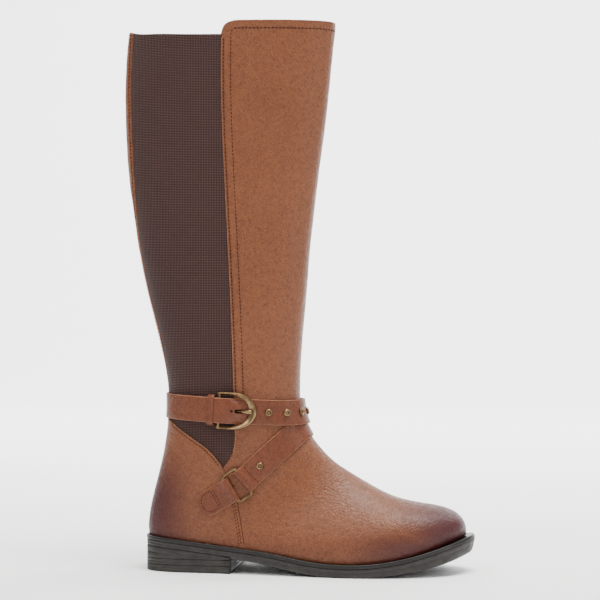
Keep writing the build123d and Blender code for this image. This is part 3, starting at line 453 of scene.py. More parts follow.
def sewn_panel(name, borders, across, down, stitch_rows, height=0.0, fold=0.9, sheet=LEATHER,
               soft=1.0, edges=("top", "bottom", "left", "right"), material=None):
    """A leather piece with rounded edges, drawn in a little along its stitching."""
    face, out = patch(*borders, across, down)
    named = dict(zip(("top", "bottom", "left", "right"), borders))
    distance = np.full(face.shape[:2], 99.0)
    if edges:
        distance = near(face, np.vstack([on_face(*dense(named[edge])) for edge in edges]))
    round_off = np.clip(1.0 - distance / fold, 0.0, 1.0)
    lift = height - fold * 0.62 * (1.0 - np.sqrt(np.maximum(1.0 - round_off**2, 0.0)))
    for row in stitch_rows:
        gap = near(face, row)
        dip = DIP * np.exp(-((gap / DIP_WIDTH) ** 2))
        lift = lift - dip + SWELL * np.exp(-((gap - SWELL_AT) ** 2))
    calm = np.clip(distance / 6.0, 0.0, 1.0)
    waves = SLOW_WAVE * waviness(face, SLOW_LENGTH) + FINE_WAVE * fine_waves(face, FINE_LENGTH)
    outer = face + out * (lift + soft * calm * waves)[..., None]
    return new_object(name, *slab(outer, face + out * (height - sheet)), "boot", material)


# a stitch: places along it and its thickness there, how flat it is and how far it sinks in
THREAD_PROFILE = (
    (-1.0, 0.05), (-0.86, 0.62), (-0.55, 0.95), (0.0, 1.0), (0.55, 0.95), (0.86, 0.62), (1.0, 0.05),
)
FLAT_THREAD = 0.85
THREAD_SINK = 0.08


def stitches(name, rows, pitch=3.1, length=2.3, radius=0.33):
    """Rows of stitches lying on the face. A row is points and the normals there."""
    parts = []
    turn = once_round(8)
    for points, normals in rows:
        at = lengths(points)
        for centre in np.arange(pitch / 2.0, at[-1] - pitch / 4.0, pitch):
            behind, p, ahead = at_length(points, at, (centre - 0.8, centre, centre + 0.8))
            n = unit(at_length(normals, at, centre))
            along = unit(ahead - behind)
            side = unit(np.cross(n, along))
            section = np.cos(turn)[:, None] * side + np.sin(turn)[:, None] * n * FLAT_THREAD
            rings = []
            for place, size in THREAD_PROFILE:
                arch = radius * 0.55 * (1.0 - place * place) - THREAD_SINK
                middle = p + along * (place * length / 2.0) + n * arch
                rings.append(middle + radius * size * section)
            parts.append(tube(np.array(rings)))
    return new_object(name, *join(parts), "boot", thread)


def side_line(curve, side=1.0):
    """A side-view curve as (t, angle) on one side."""
    return together(*side_view(*curve.T, side))


def shifted(curve, distance):
    """A side-view curve moved sideways by a distance, to its left when positive."""
    step = unit(np.gradient(curve, axis=0))
    return curve + distance * together(-step[:, 1], step[:, 0])


def row_on_face(line_ta, pitch=0.5, lift=0.0):
    """Close points and normals along a line of (t, angle), for stitches."""
    places = dense(line_ta, pitch)
    normals = normal_at(*places)
    return on_face(*places) + normals * lift, normals


# ---------------------------------------------------------------- lines on the upper
gore_front = curve_through(GORE_FRONT, 500)
gore_back = curve_through(GORE_BACK, 300)
quarter_top = curve_through(QUARTER_TOP, 200)
quarter_seam = curve_through(QUARTER_SEAM, 160)
welt_curve = curve_through(WELT_TOP, 600)


def welt_height(x):
    """Height of the welt's top, which the upper sits on."""
    return np.interp(x, *welt_curve.T)


def feather_angle(t, sink=-0.6):
    """The angle where each section meets the welt, half a turn where it stays above."""
    def above(angle):
        p = on_face(t, angle)
        return p[..., 2] - welt_height(p[..., 0]) - sink

    return find_t(above, np.full(t.shape, 0.35 * math.pi), np.full(t.shape, math.pi))


def t_at_height(angle, height, low, high):
    """The t where the face passes a height, which may depend on x, at each angle."""
    angle = np.asarray(angle, float)

    def above(t):
        p = on_face(t, angle)
        return p[..., 2] - (height(p[..., 0]) if callable(height) else height)

    return find_t(above, np.full(angle.shape, low), np.full(angle.shape, high))


def round_at(height, start, end, count, low=0.3, high=18.0):
    """(t, angle) round the boot at a height, between two angles."""
    angle = np.linspace(start, end, count)
    return together(t_at_height(angle, height, low, high), angle)


def feather(start, end, count):
    """The outer edge of the upper on the welt, as (t, angle)."""
    t = np.linspace(start, end, count)
    return together(t, feather_angle(t))


def inner_side(line):
    """A side-view line as (t, angle) on the inner side, where the angle runs past half a turn."""
    return side_line(line, -1.0) + (0.0, TAU)


INNER = (1.0, -1.0)
heel_t = float(t_at_height(math.pi, lambda x: welt_height(x) - 0.6, 10.0, 14.0))

# where the rear seam of the vamp reaches the welt
seam_foot = downwards(cut_between(quarter_seam, 19.5, 71.0))
seam_end_t = float(side_view(*seam_foot[-1])[0])

# the front panel
corner = curve_through(((-60.6, GORE_TOP), (-57.4, 450.9), (-48.4, SHAFT_TOP)), 40)
top_outer = side_line(corner)
front_edge = (ZIP_X + ZIP_GAP, SHAFT_TOP)
top_inner = round_at(SHAFT_TOP, 0.0, float(side_view(*front_edge, -1.0)[1]), 160)
top_middle = round_at(SHAFT_TOP, 0.0, top_outer[-1, 1], 160)[::-1]
front_top = np.vstack((top_outer, top_middle[1:], top_inner[1:]))
gore_front_cut = downwards(cut_between(gore_front, 86.0, GORE_TOP))
seam_upper = downwards(cut_between(quarter_seam, 71.0, 86.0))
front_left = side_line(np.vstack((gore_front_cut, seam_upper[1:])))
vamp_line = np.linspace(*VAMP_SEAM, 90)
vamp_outer = side_line(vamp_line[:-1])
vamp_front = (float(t_at_height(0.0, VAMP_SEAM[1, 1], 5.0, 12.0)), 0.0)
front_right = side_line(straight(front_edge, (ZIP_X + ZIP_GAP, VAMP_SEAM[0, 1]), 200), -1.0)
front_bottom = np.vstack((vamp_outer, vamp_front, (vamp_outer * INNER)[::-1], front_right[-1:]))
front_top = np.vstack((front_top[:-1], front_right[:1]))
front_left[0] = front_top[0]
front_left[-1] = front_bottom[0]

# the elastic gore
REAR_TOP = (
    (-150, 449.6), (-143, 448.9), (-136, 446.9), (-118, 445.2), (-100, 444.3), (-59, GORE_TOP)
)
rear_top_curve = curve_through(REAR_TOP, 200)


def back_top_height(x):
    """Height of the top line behind the front panel."""
    return np.interp(x, *rear_top_curve.T)


GORE_FOOT = (-107.0, 124.4)
gore_back_cut = gore_back[gore_back[:, 1] < 447.2]
gore_back_cut = np.vstack((gore_back_cut, np.linspace(gore_back_cut[-1], GORE_FOOT, 20)[1:]))
gore_back_line = side_line(gore_back_cut)
gore_front_line = side_line(gore_front_cut)
gore_top_line = round_at(back_top_height, gore_front_line[0, 1], gore_back_line[0, 1], 80, 0.3, 3.0)
gore_top_line[0] = gore_front_line[0]
gore_top_line[-1] = gore_back_line[0]
quarter_x = quarter_top[:, 0]
quarter_front = quarter_top[quarter_x > GORE_FOOT[0]]
gore_bottom_line = side_line(np.vstack((quarter_front, GORE_FOOT)))
gore_bottom_line[0] = gore_front_line[-1]
gore_bottom_line[-1] = gore_back_line[-1]

# the rear panel
back_middle_height = float(np.interp(-111.0, *quarter_top[::-1].T))
back_middle_t = float(t_at_height(math.pi, back_middle_height, 0.3, 13.0))
back_middle = (back_middle_t, math.pi)
rear_outer = side_line(quarter_top[(quarter_x <= GORE_FOOT[0]) & (quarter_x > -110.6)])
back_right = inner_side(straight((ZIP_X - ZIP_GAP, GORE_TOP), (ZIP_X - ZIP_GAP, 85.2), 200))
rear_inner = inner_side(quarter_top[(quarter_x > -110.6) & (quarter_x < -59.2)][::-1])
back_bottom = np.vstack((gore_back_line[-1:], rear_outer, back_middle, rear_inner, back_right[-1:]))
back_top = round_at(back_top_height, gore_back_line[0, 1], back_right[0, 1], 160, 0.3, 3.0)
back_top[0] = gore_back_line[0]
back_top[-1] = back_right[0]

# the quarters
quarter_outer_top = np.vstack(
    (side_line(quarter_front), gore_back_line[-1:], rear_outer, back_middle)
)
quarter_outer_top[0] = gore_front_line[-1]
back_centre = together(np.linspace(back_middle_t, heel_t, 60), math.pi)
quarter_outer_bottom = feather(seam_end_t, heel_t, 90)
quarter_outer_bottom[-1] = back_centre[-1]
seam_below = seam_foot[seam_foot[:, 1] < 71.0]
quarter_outer_left = side_line(np.vstack((seam_upper, seam_below)))
quarter_outer_left = np.vstack((quarter_outer_left[:-1], quarter_outer_bottom[:1]))
quarter_outer_left[0] = quarter_outer_top[0]
SEAM_FOOT_IN = ((-55.0, 59.0), (-46.0, 40.0), (-39.5, 20.0))
inner_seam = resample(((-58.0, 85.2), (-58.0, 64.0), *SEAM_FOOT_IN), 120)
quarter_inner_bottom = quarter_outer_bottom * INNER
quarter_inner_left = np.vstack((side_line(inner_seam, -1.0)[:-1], quarter_inner_bottom[:1]))
quarter_inner_top = np.vstack(
    (quarter_inner_left[:1], rear_inner[::-1] - (0.0, TAU), (back_middle_t, -math.pi))
)

# the vamp
vamp_seam_inner = side_line(resample(((-52.0, 69.7), (-52.0, 64.0), *SEAM_FOOT_IN), 100), -1.0)
vamp_rear_outer = quarter_outer_left[quarter_outer_left[:, 0] >= vamp_outer[0, 0]]
vamp_top = np.vstack(
    (vamp_rear_outer[::-1], front_bottom, vamp_seam_inner[1:-1], quarter_inner_bottom[:1])
)
toe_t = LAST - 0.03
vamp_left = feather(seam_end_t, toe_t, 240)
vamp_left[-1, 1] = math.pi
vamp_bottom = together(toe_t, np.linspace(math.pi, -math.pi, 60))


# ---------------------------------------------------------------- straps
def plane_through(degrees, point):
    """A plane across the boot: its normal, leant back from upright, and its level."""
    turn = math.radians(degrees)
    normal = np.array((-math.sin(turn), 0.0, math.cos(turn)))
    return normal, float(normal @ np.asarray(point, float))


ANKLE = plane_through(-2.8, (-43, 0, 132.9))
RING_AT = np.array((-46.7, 0.0, 72.1))
RING_ANGLE = math.radians(35.0)
RING_ALONG = 6.7
ring_step = RING_ALONG * np.array((math.cos(RING_ANGLE), 0.0, math.sin(RING_ANGLE)))
cross_end, tab_end = RING_AT + ring_step, RING_AT - ring_step
CROSS = plane_through(43.5, cross_end)
TAB = plane_through(31.0, tab_end)
BAR_X = -62.0
BAR_OFF = 2.55

# heights over the face, against x: the studded strap, how far its edges hang at the buckle,
# and the outer and inner face of the buckle's own strap where it is folded round the bar
TOP_STRAP = (
    (-82.0, 2.35), (-76.0, 2.75), (-71.0, 3.6), (-67.0, 4.5), (-64.5, 4.95), (-61.5, 4.95),
    (-52.0, 4.75), (-47.5, 4.6), (-45.5, 3.9), (-43.5, 2.5), (-41.5, 1.1), (-40.0, 0.4),
    (-38.0, 0.25), (-20.0, 0.25), (-8.0, 2.45),
)
TOP_DROP = (
    (-56.0, 0.0), (-54.0, 0.5), (-52.0, 1.7), (-50.0, 3.1), (-48.0, 4.15), (-47.0, 4.25),
    (-45.5, 3.55), (-43.5, 2.15), (-41.5, 0.75), (-40.0, 0.1), (-38.0, 0.0),
)
CHAPE_OUT = (
    (-82.0, 2.05), (-76.0, 2.45), (-71.0, 3.3), (-67.0, 4.2), (-64.5, 4.65), (-61.5, 4.6),
    (-60.4, 4.1), (-59.8, 3.3),
)
CHAPE_IN = ((-62.0, 0.25), (-60.4, 0.9), (-59.8, 1.9))


def from_list(table, x):
    """A table of (x, value) read at any x."""
    return np.interp(x, *np.transpose(table))


def meet_face(points, directions, t, angle):
    """How far along each direction the face is."""
    guide = np.array((0.31, 0.17, 0.93))
    side = unit(np.cross(directions, guide))
    other = np.cross(directions, side)
    step = 0.001
    for _ in range(9):
        here = on_face(t, angle)
        by_t = (on_face(t + step, angle) - here) / step
        by_angle = (on_face(t, angle + step) - here) / step
        gap = here - points
        a, b = (by_t * side).sum(-1), (by_angle * side).sum(-1)
        c, d = (by_t * other).sum(-1), (by_angle * other).sum(-1)
        e, f = (gap * side).sum(-1), (gap * other).sum(-1)
        whole = a * d - b * c
        t = t - (d * e - b * f) / whole
        angle = angle - (a * f - c * e) / whole
    return ((on_face(t, angle) - points) * directions).sum(-1)


def angle_where(x, plane, side=1.0):
    """The angle where a plane across the boot reaches x, on one side."""
    x = np.atleast_1d(x)

    def past(angle):
        t = at_level(side * angle, *plane)
        return on_face(t, side * angle)[..., 0] - x

    return side * find_t(past, np.full(x.shape, 0.02), np.full(x.shape, math.pi - 0.02))


def strap_frames(angles, plane):
    """Middle point, direction across, direction out and t at each angle of a strap."""
    normal = plane[0]
    t = at_level(angles, *plane)
    out = normal_at(t, angles)
    across = unit(normal - out * (out @ normal)[:, None])
    return on_face(t, angles), across, out, t


def strap_section(half, thick, corner):
    """Places across and through a strap once round, with its corners rounded."""
    turn = np.linspace(0.0, 0.5 * math.pi, 4)
    sine, cosine = np.sin(turn), np.cos(turn)
    side = half - corner
    face = together(np.linspace(-side, side, 9), thick)
    falling = together(side + corner * sine, thick - corner + corner * cosine)[1:]
    turning = together(side + corner * cosine, corner - corner * sine)[:-1]
    half_loop = np.vstack((face, falling, turning))
    return np.vstack((half_loop, half_loop * (-1.0, -1.0) + (0.0, thick)))


def strap_rings(angles, plane, halves, lows, highs, drops):
    """Rings of points along a strap; its offsets are over the boot's face."""
    here, across, out, t = strap_frames(angles, plane)
    probe = np.linspace(-1.0, 1.0, 7)
    heights = [meet_face(here + across * (a * halves)[:, None], out, t, angles) for a in probe]
    heights = np.transpose(heights)
    rings = []
    for i in range(len(angles)):
        thick = highs[i] - lows[i]
        loop = strap_section(halves[i], thick, min(0.55, 0.42 * thick, 0.3 * halves[i]))
        share = loop[:, 0] / halves[i]
        rise = np.interp(share, probe, heights[i]) - drops[i] * share**2 + lows[i] + loop[:, 1]
        rings.append(here[i] + across[i] * loop[:, :1] + out[i] * rise[:, None])
    return np.array(rings)


def smooth_steps(values, passes):
    """Values evened out with their neighbours a few times; the ends stay."""
    values = np.array(values, float)
    for _ in range(passes):
        inner = 0.25 * values[:-2] + 0.5 * values[1:-1] + 0.25 * values[2:]
        values[1:-1] = inner
    return values


# which faces of strap_section's loop are cut edges
EDGE_FACES = (9, 10, 11, 12, 13, 24, 25, 26, 27, 28)


def strap_object(name, rings):
    """A strap with its cut edges in a second material."""
    points, faces = tube(rings)
    around = rings.shape[1]
    indices = [int(k % around in EDGE_FACES) for k in range(len(faces) - 2)] + [1, 1]
    return new_object(name, points, faces, "boot", band, raw_edge, indices=indices)


STRAP_PACE = 1.8


def strap_x(angles, plane):
    """Where along the boot a strap is at each angle."""
    return on_face(at_level(angles, *plane), angles)[:, 0]


def angles_along(start, end_x, plane):
    """Angles about one pace apart along a strap, from an angle to a place on the outer side."""
    fine = np.linspace(start, float(angle_where(end_x, plane)[0]), 700)
    at = lengths(on_face(at_level(fine, *plane), fine))
    count = max(int(at[-1] / STRAP_PACE), 3)
    return np.interp(np.linspace(0.0, at[-1], count), at, fine)


# half widths of the studded strap's rounded end, against x
STRAP_TIP = (
    (-101.96, 1.4), (-101.6, 3.4), (-101.0, 5.2), (-100.0, 7.2), (-98.0, 9.2), (-95.0, 10.05),
    (-91.0, STRAP_HALF),
)


def studded_strap_rings():
    """The strap round the ankle, from the zip to its free end past the buckle."""
    start = float(angle_where(ZIP_X + ZIP_STRAP, ANKLE, -1.0)[0])
    front = angles_along(start, -24.0, ANKLE)
    tip_x = (-91.0, -93.0, -95.0, -96.6, -98.0, -99.0, -100.0, -100.7, -101.3, -101.7, -101.95)
    rear = angle_where(np.concatenate((np.arange(-24.8, -91.0, -0.8), tip_x)), ANKLE)
    angles = np.concatenate((front, rear))
    x = strap_x(angles, ANKLE)
    lows = smooth_steps(from_list(TOP_STRAP, x), 3)
    drops = smooth_steps(from_list(TOP_DROP, x) * (x > -56), 3)
    # on the inner side the strap lies flat on the boot
    inner = angles < 0.0
    lows = np.where(inner & (x < -20.0), STRAP_GAP, lows)
    drops = np.where(inner, 0.0, drops)
    halves = np.where(x < -91.0, from_list(STRAP_TIP, x), STRAP_HALF)
    halves = np.where(inner, STRAP_HALF, halves)
    return strap_rings(angles, ANKLE, halves, lows, lows + STRAP, drops)


def buckle_strap_rings():
    """The strap that holds the buckle, from the zip round the back to the bar."""
    start = float(angle_where(ZIP_X - ZIP_STRAP, ANKLE, -1.0)[0]) + TAU
    rear = angles_along(start, -92.0, ANKLE)
    xs = np.concatenate((np.arange(-91.2, -64.0, 0.8), np.arange(-64.0, -59.7, 0.35)))
    angles = np.concatenate((rear, angle_where(xs, ANKLE)))
    x = strap_x(angles, ANKLE)
    front = (x > -90.0) & (angles < math.pi)
    lows = np.where(front, from_list(CHAPE_IN, x), STRAP_GAP)
    highs = np.where(front, from_list(CHAPE_OUT, x), STRAP_GAP + STRAP)
    blend = np.clip((x + 92.0) / 10.0, 0.0, 1.0) * (angles < math.pi)
    highs = np.where(blend < 1.0, (STRAP_GAP + STRAP) * (1 - blend) + highs * blend, highs)
    highs = smooth_steps(highs, 1)
    return strap_rings(angles, ANKLE, np.full(len(x), STRAP_HALF), lows, highs, 0.0 * x)


# a strap folded round the ring: heights of its faces along it, past the ring's near side
FOLD_END = 2.7
LOOP_TOP = ((-8.0, 2.05), (-5.0, 2.7), (-2.5, 4.3), (0.0, 4.6), (1.8, 4.2), (FOLD_END, 3.3))
LOOP_LOW = ((0.6, STRAP_GAP), (1.8, 1.0), (FOLD_END, 1.9))


def loop_values(end_x, direction, plane, x):
    """Offsets of a strap where it is folded round the ring."""
    length = (end_x - x) * direction / plane[0][2]
    return tuple(smooth_steps(from_list(table, length), 1) for table in (LOOP_LOW, LOOP_TOP))


def cross_strap_rings():
    """The slanting strap, from the zip over the instep to the ring."""
    start = float(angle_where(ZIP_X + ZIP_STRAP, CROSS, -1.0)[0])
    front = angles_along(start, -30.0, CROSS)
    end = cross_end[0] - FOLD_END * CROSS[0][2]
    angles = np.concatenate((front, angle_where(np.linspace(-30.5, end, 22), CROSS)))
    x = strap_x(angles, CROSS)
    lows, highs = loop_values(cross_end[0], 1.0, CROSS, x)
    flat = angles < 0.0
    lows, highs = np.where(flat, STRAP_GAP, lows), np.where(flat, STRAP_GAP + STRAP, highs)
    return strap_rings(angles, CROSS, np.full(len(x), STRAP_HALF), lows, highs, 0.0 * x)


# half widths of the heel tab's rounded end, against x
TAB_OUTLINE = (
    (-77.45, 2.4), (-77.3, 3.7), (-77.0, 4.9), (-76.5, 6.2), (-75.7, 7.5), (-74.5, 8.8),
    (-73.0, 9.7), (-71.2, 10.15), (-69.0, STRAP_HALF),
)


def tab_rings():
    """The short tab behind the ring, sewn to the outer quarter."""
    end = tab_end[0] + FOLD_END * TAB[0][2]
    xs = np.concatenate(([x for x, _ in TAB_OUTLINE[:-1]], np.linspace(-69.8, end, 28)))
    lows, highs = loop_values(tab_end[0], -1.0, TAB, xs)
    return strap_rings(angle_where(xs, TAB), TAB, from_list(TAB_OUTLINE, xs), lows, highs, 0.0 * xs)


# ---------------------------------------------------------------- sole
def smooth_ring(points, count):
    """A closed line of points, evenly spaced by length."""
    closed = np.vstack((points, points[:1]))
    return resample(closed, count + 1)[:-1]


def feather_plan(count=150):
    """The upper's edge on the welt, seen from above, once round from the heel."""
    u = np.linspace(0.0, 1.0, count)
    t = heel_t + (LAST - 0.02 - heel_t) * u * u * (2.0 - u)
    angle = feather_angle(t, 1.0)
    outer = on_face(t, angle)[:, :2]
    inner = on_face(t, -angle)[:, :2]
    outer[0] = inner[0] = (outer[0, 0], 0.0)
    loop = np.vstack((outer, inner[-2:0:-1]))
    return smooth_ring(loop, 420)


def toward_middle(loop, inset):
    """A plan outline drawn in by an inset at each of its points."""
    step = unit(np.roll(loop, -1, axis=0) - np.roll(loop, 1, axis=0))
    return loop - together(step[:, 1], -step[:, 0]) * inset[:, None]


def grown(loop, margin):
    """A plan outline moved outwards by a margin, evened out."""
    wide = toward_middle(loop, -margin)
    for _ in range(6):
        wide = 0.25 * np.roll(wide, 1, axis=0) + 0.5 * wide + 0.25 * np.roll(wide, -1, axis=0)
    return smooth_ring(wide, 420)


feather_loop = feather_plan()
toe_share = np.clip((feather_loop[:, 0] - 98.0) / 40.0, 0.0, 1.0)
sole_loop = grown(feather_loop, WELT_EDGE + (TOE_EDGE - WELT_EDGE) * toe_share**2)
tread_curve = curve_through(TREAD, 400)


def tread_height(x):
    """Height of the sole's underside ahead of the heel."""
    return np.interp(x, *tread_curve.T)


def strip_cap(ring, first, flip):
    """Faces across a closed ring, joining its two sides like rungs."""
    count = len(ring)
    start = int(np.argmin(ring[:, 0]))
    faces = []
    for k in range(count // 2):
        steps = [k, k + 1, -k - 1, -k]
        # both ends of the strip are triangles
        if k == 0:
            steps = steps[:3]
        if k == count // 2 - 1:
            steps = [k, k + 1, -k]
        face = [first + (start + step) % count for step in steps]
        faces.append(face[::-1] if flip else face)
    return faces


def solid_from(rings):
    """A solid from rings that go from its top face down its side to its bottom face."""
    count, around = rings.shape[:2]
    faces = grid_faces(count, around, closed=True).tolist()
    faces += strip_cap(rings[0], 0, flip=False)
    faces += strip_cap(rings[-1], (count - 1) * around, flip=True)
    return rings.reshape(-1, 3), faces


def rear_of(loop, x_limit):
    """The part of a plan outline behind a line across the sole."""
    turned = np.roll(loop, -int(np.argmin(loop[:, 0])), axis=0)
    half = len(loop) // 2
    pieces = []
    for line in (turned[: half + 1], np.vstack((turned[half:], turned[:1]))[::-1]):
        kept = line[line[:, 0] <= x_limit]
        last, edge = kept[-1], line[len(kept)]
        share = (x_limit - last[0]) / (edge[0] - last[0])
        pieces.append(np.vstack((kept, last + (edge - last) * share)))
    across = np.linspace(pieces[0][-1], pieces[1][-1], 14)[1:-1]
    return np.vstack((pieces[0], across, pieces[1][::-1][:-1]))


# ---------------------------------------------------------------- finishes
class Finish:
    """A procedural material under construction."""

    def __init__(self, name):
        self.material = bpy.data.materials.new(name)
        self.material.use_nodes = True
        tree = self.material.node_tree
        self.nodes, self.links = tree.nodes, tree.links
        self.shader = self.nodes["Principled BSDF"]
        self.place = self.nodes.new("ShaderNodeTexCoord").outputs["Object"]

    def feed(self, node, values):
        """Sets or links a node's inputs, by name or by number."""
        for key, value in values.items():
            socket = node.inputs[key]
            if isinstance(value, bpy.types.NodeSocket):
                self.links.new(value, socket)
            else:
                socket.default_value = (*value, 1.0) if isinstance(value, tuple) else value
        return node

    def add(self, kind, values, **settings):
        """A new node with some settings and inputs."""
        node = self.nodes.new("ShaderNode" + kind)
        for key, value in settings.items():
            setattr(node, key, value)
        return self.feed(node, values)

    def look(self, **values):
        """Sets or links inputs of the surface, with _ for each space in a name."""
        self.feed(self.shader, {name.replace("_", " "): value for name, value in values.items()})

    def noise(self, scale, detail, roughness):
        values = {"Vector": self.place, "Scale": scale, "Detail": detail, "Roughness": roughness}
        return self.add("TexNoise", values).outputs["Fac"]

    def cells(self, scale, feature):
        values = {"Vector": self.place, "Scale": scale}
        return self.add("TexVoronoi", values, feature=feature).outputs["Distance"]

    def waves(self, scale, direction):
        values = {"Vector": self.place, "Scale": scale}
        return self.add("TexWave", values, bands_direction=direction).outputs["Fac"]

    def axis(self, which):
        return self.add("SeparateXYZ", {0: self.place}).outputs[which]

    def ramp(self, value, low, high, start=0.0, end=1.0):
        values = {"Value": value, "From Min": low, "From Max": high, "To Min": start, "To Max": end}
        return self.add("MapRange", values, interpolation_type="SMOOTHSTEP").outputs["Result"]

    def math(self, kind, a, b):
        return self.add("Math", {0: a, 1: b}, operation=kind).outputs[0]

    def mix(self, share, a, b):
        return self.add("Mix", {0: share, 6: a, 7: b}, data_type="RGBA").outputs[2]

    def bump(self, height, strength, distance, **before):
        values = {"Strength": strength, "Distance": distance, "Height": height, **before}
        normal = self.add("Bump", values).outputs[0]
        self.look(Normal=normal)
        return normal


def leather_finish(name, light, dark, rough, grain, burnish=0.0, burnt=(0.036, 0.0050, 0.0062)):
    """Aniline-look leather: pebbled grain with painted shade in its creases, faintly clouded,
    burnished toe and heel.
    """
    f = Finish(name)
    clouds = f.noise(11.0, 4.0, 0.6)
    mottle = f.noise(260.0, 4.0, 0.65)
    specks = f.noise(900.0, 2.0, 0.5)
    pebble = f.cells(560.0, "SMOOTH_F1")
    crease_shade = f.cells(560.0, "DISTANCE_TO_EDGE")
    colour = f.mix(f.ramp(clouds, 0.25, 0.75, 0.25, 0.75), dark, light)
    colour = f.mix(f.ramp(mottle, 0.35, 0.7, 0.0, 0.38), colour, tuple(c * 0.5 for c in dark))
    paler = tuple(min(c * 1.7, 1.0) for c in light)
    colour = f.mix(f.ramp(specks, 0.55, 0.75, 0.0, 0.35), colour, paler)
    # painted shade: the creases between the grain's pebbles are darkened
    colour = f.mix(f.ramp(crease_shade, 0.0, 0.13, 0.55, 0.0), colour, tuple(c * 0.3 for c in dark))
    if burnish:
        toe = f.ramp(f.axis("X"), 0.068, 0.126)
        side = f.ramp(f.axis("X"), 0.015, 0.100)
        low = f.ramp(f.axis("Z"), 0.048, 0.022)
        toe = f.math("MAXIMUM", toe, f.math("MULTIPLY", f.math("MULTIPLY", side, low), 0.9))
        heel = f.ramp(f.axis("X"), -0.072, -0.116)
        heel = f.math("MULTIPLY", heel, f.ramp(f.axis("Z"), 0.116, 0.058))
        edge = f.math("MULTIPLY", f.ramp(f.axis("Z"), 0.040, 0.018), 0.25)
        share = f.math("MAXIMUM", f.math("MAXIMUM", toe, heel), edge)
        share = f.math("MULTIPLY", share, f.ramp(clouds, 0.2, 0.75, 0.8, 1.0))
        colour = f.mix(f.math("MULTIPLY", share, burnish), colour, burnt)
    f.look(Base_Color=colour, Roughness=f.ramp(mottle, 0.3, 0.75, rough - 0.07, rough + 0.1))
    height = f.math("ADD", f.math("MULTIPLY", pebble, -0.8), f.math("MULTIPLY", mottle, 0.45))
    first = f.bump(height, 0.6 * grain, 0.0008)
    f.bump(f.noise(70.0, 3.0, 0.6), 0.06 * grain, 0.0012, Normal=first)
    f.look(Specular_IOR_Level=0.27)
    return f.material


def plain_finish(name, colour, rough, vary, scale, bump, metal=0.0, distance=0.0003, worn=None,
                 shine=0.5):
    """One colour, a little uneven; worn is its colour where it is rubbed."""
    f = Finish(name)
    noise = f.noise(scale, 5.0, 0.6)
    darker = tuple(c * (1.0 - vary) for c in colour)
    lighter = worn if worn else tuple(min(c * (1.0 + vary), 1.0) for c in colour)
    f.look(Base_Color=f.mix(f.ramp(noise, 0.3, 0.7), darker, lighter))
    f.look(Roughness=f.ramp(noise, 0.3, 0.7, rough + 0.08, rough - 0.06))
    f.look(Metallic=metal, Specular_IOR_Level=shine)
    f.bump(noise, bump, distance)
    return f.material


def webbing_finish(name, dark, light, scale):
    """Ribbed cloth: fine cords down the leg crossed by a close weave."""
    f = Finish(name)
    grid = f.math("MULTIPLY", f.waves(scale, "X"), f.waves(scale, "Z"))
    fuzz = f.noise(900.0, 3.0, 0.7)
    colour = f.mix(f.ramp(grid, 0.1, 0.8), dark, light)
    f.look(Base_Color=f.mix(f.ramp(fuzz, 0.35, 0.8, 0.0, 0.4), colour, dark))
    f.look(Roughness=0.85, Specular_IOR_Level=0.2, Sheen_Weight=0.08, Sheen_Roughness=0.5)
    f.bump(grid, 0.5, 0.0006)
    return f.material


tan = leather_finish(
    "tan_leather", (0.196, 0.0655, 0.0255), (0.134, 0.0415, 0.0162), 0.47, 1.0, 1.0
)
band = leather_finish("strap_leather", (0.150, 0.041, 0.0155), (0.105, 0.027, 0.0105), 0.42, 0.7)
sock = leather_finish("sock_leather", (0.42, 0.27, 0.16), (0.34, 0.20, 0.11), 0.55, 0.5)
elastic = webbing_finish("elastic", (0.015, 0.0062, 0.0056), (0.112, 0.054, 0.045), 230.0)
cloth = webbing_finish("lining", (0.30, 0.21, 0.14), (0.42, 0.31, 0.21), 420.0)
tape = webbing_finish("zip_fabric", (0.045, 0.020, 0.014), (0.085, 0.042, 0.030), 700.0)
# colour, roughness, how far the colour varies, the size of its grain and its height
raw_edge = plain_finish("cut_edge", (0.255, 0.105, 0.046), 0.7, 0.25, 300.0, 0.2)
thread = plain_finish("thread", (0.030, 0.0085, 0.0045), 0.85, 0.25, 700.0, 0.3, shine=0.08)
board = plain_finish("stiffener", (0.42, 0.33, 0.24), 0.85, 0.15, 200.0, 0.3)
cork = plain_finish("cork", (0.36, 0.22, 0.12), 0.85, 0.45, 260.0, 0.5)
steel = plain_finish("steel", (0.55, 0.55, 0.56), 0.32, 0.1, 120.0, 0.05, metal=1.0)
rubber = plain_finish(
    "sole_rubber", (0.0150, 0.0128, 0.0110), 0.52, 0.3, 140.0, 0.16, distance=0.0004, shine=0.35
)
# the welt: its own near-black, darkened further as painted shade where the upper shades its top
welt_dark_with_painted_shade = plain_finish("welt_edge", (0.0060, 0.0048, 0.0040), 0.40, 0.3, 110.0, 0.12, shine=0.3)
brass = plain_finish(
    "antique_brass", (0.125, 0.076, 0.036), 0.28, 0.35, 90.0, 0.05, metal=1.0, worn=(0.25, 0.16, 0.08)
)
coil = plain_finish("zip_coil", (0.050, 0.026, 0.018), 0.38, 0.2, 300.0, 0.05)

# ---------------------------------------------------------------- upper: stitch rows
def plane_row(curve, side=1.0, lift=0.0):
    """A stitch row along a side-view curve."""
    return row_on_face(side_line(curve, side), lift=lift)


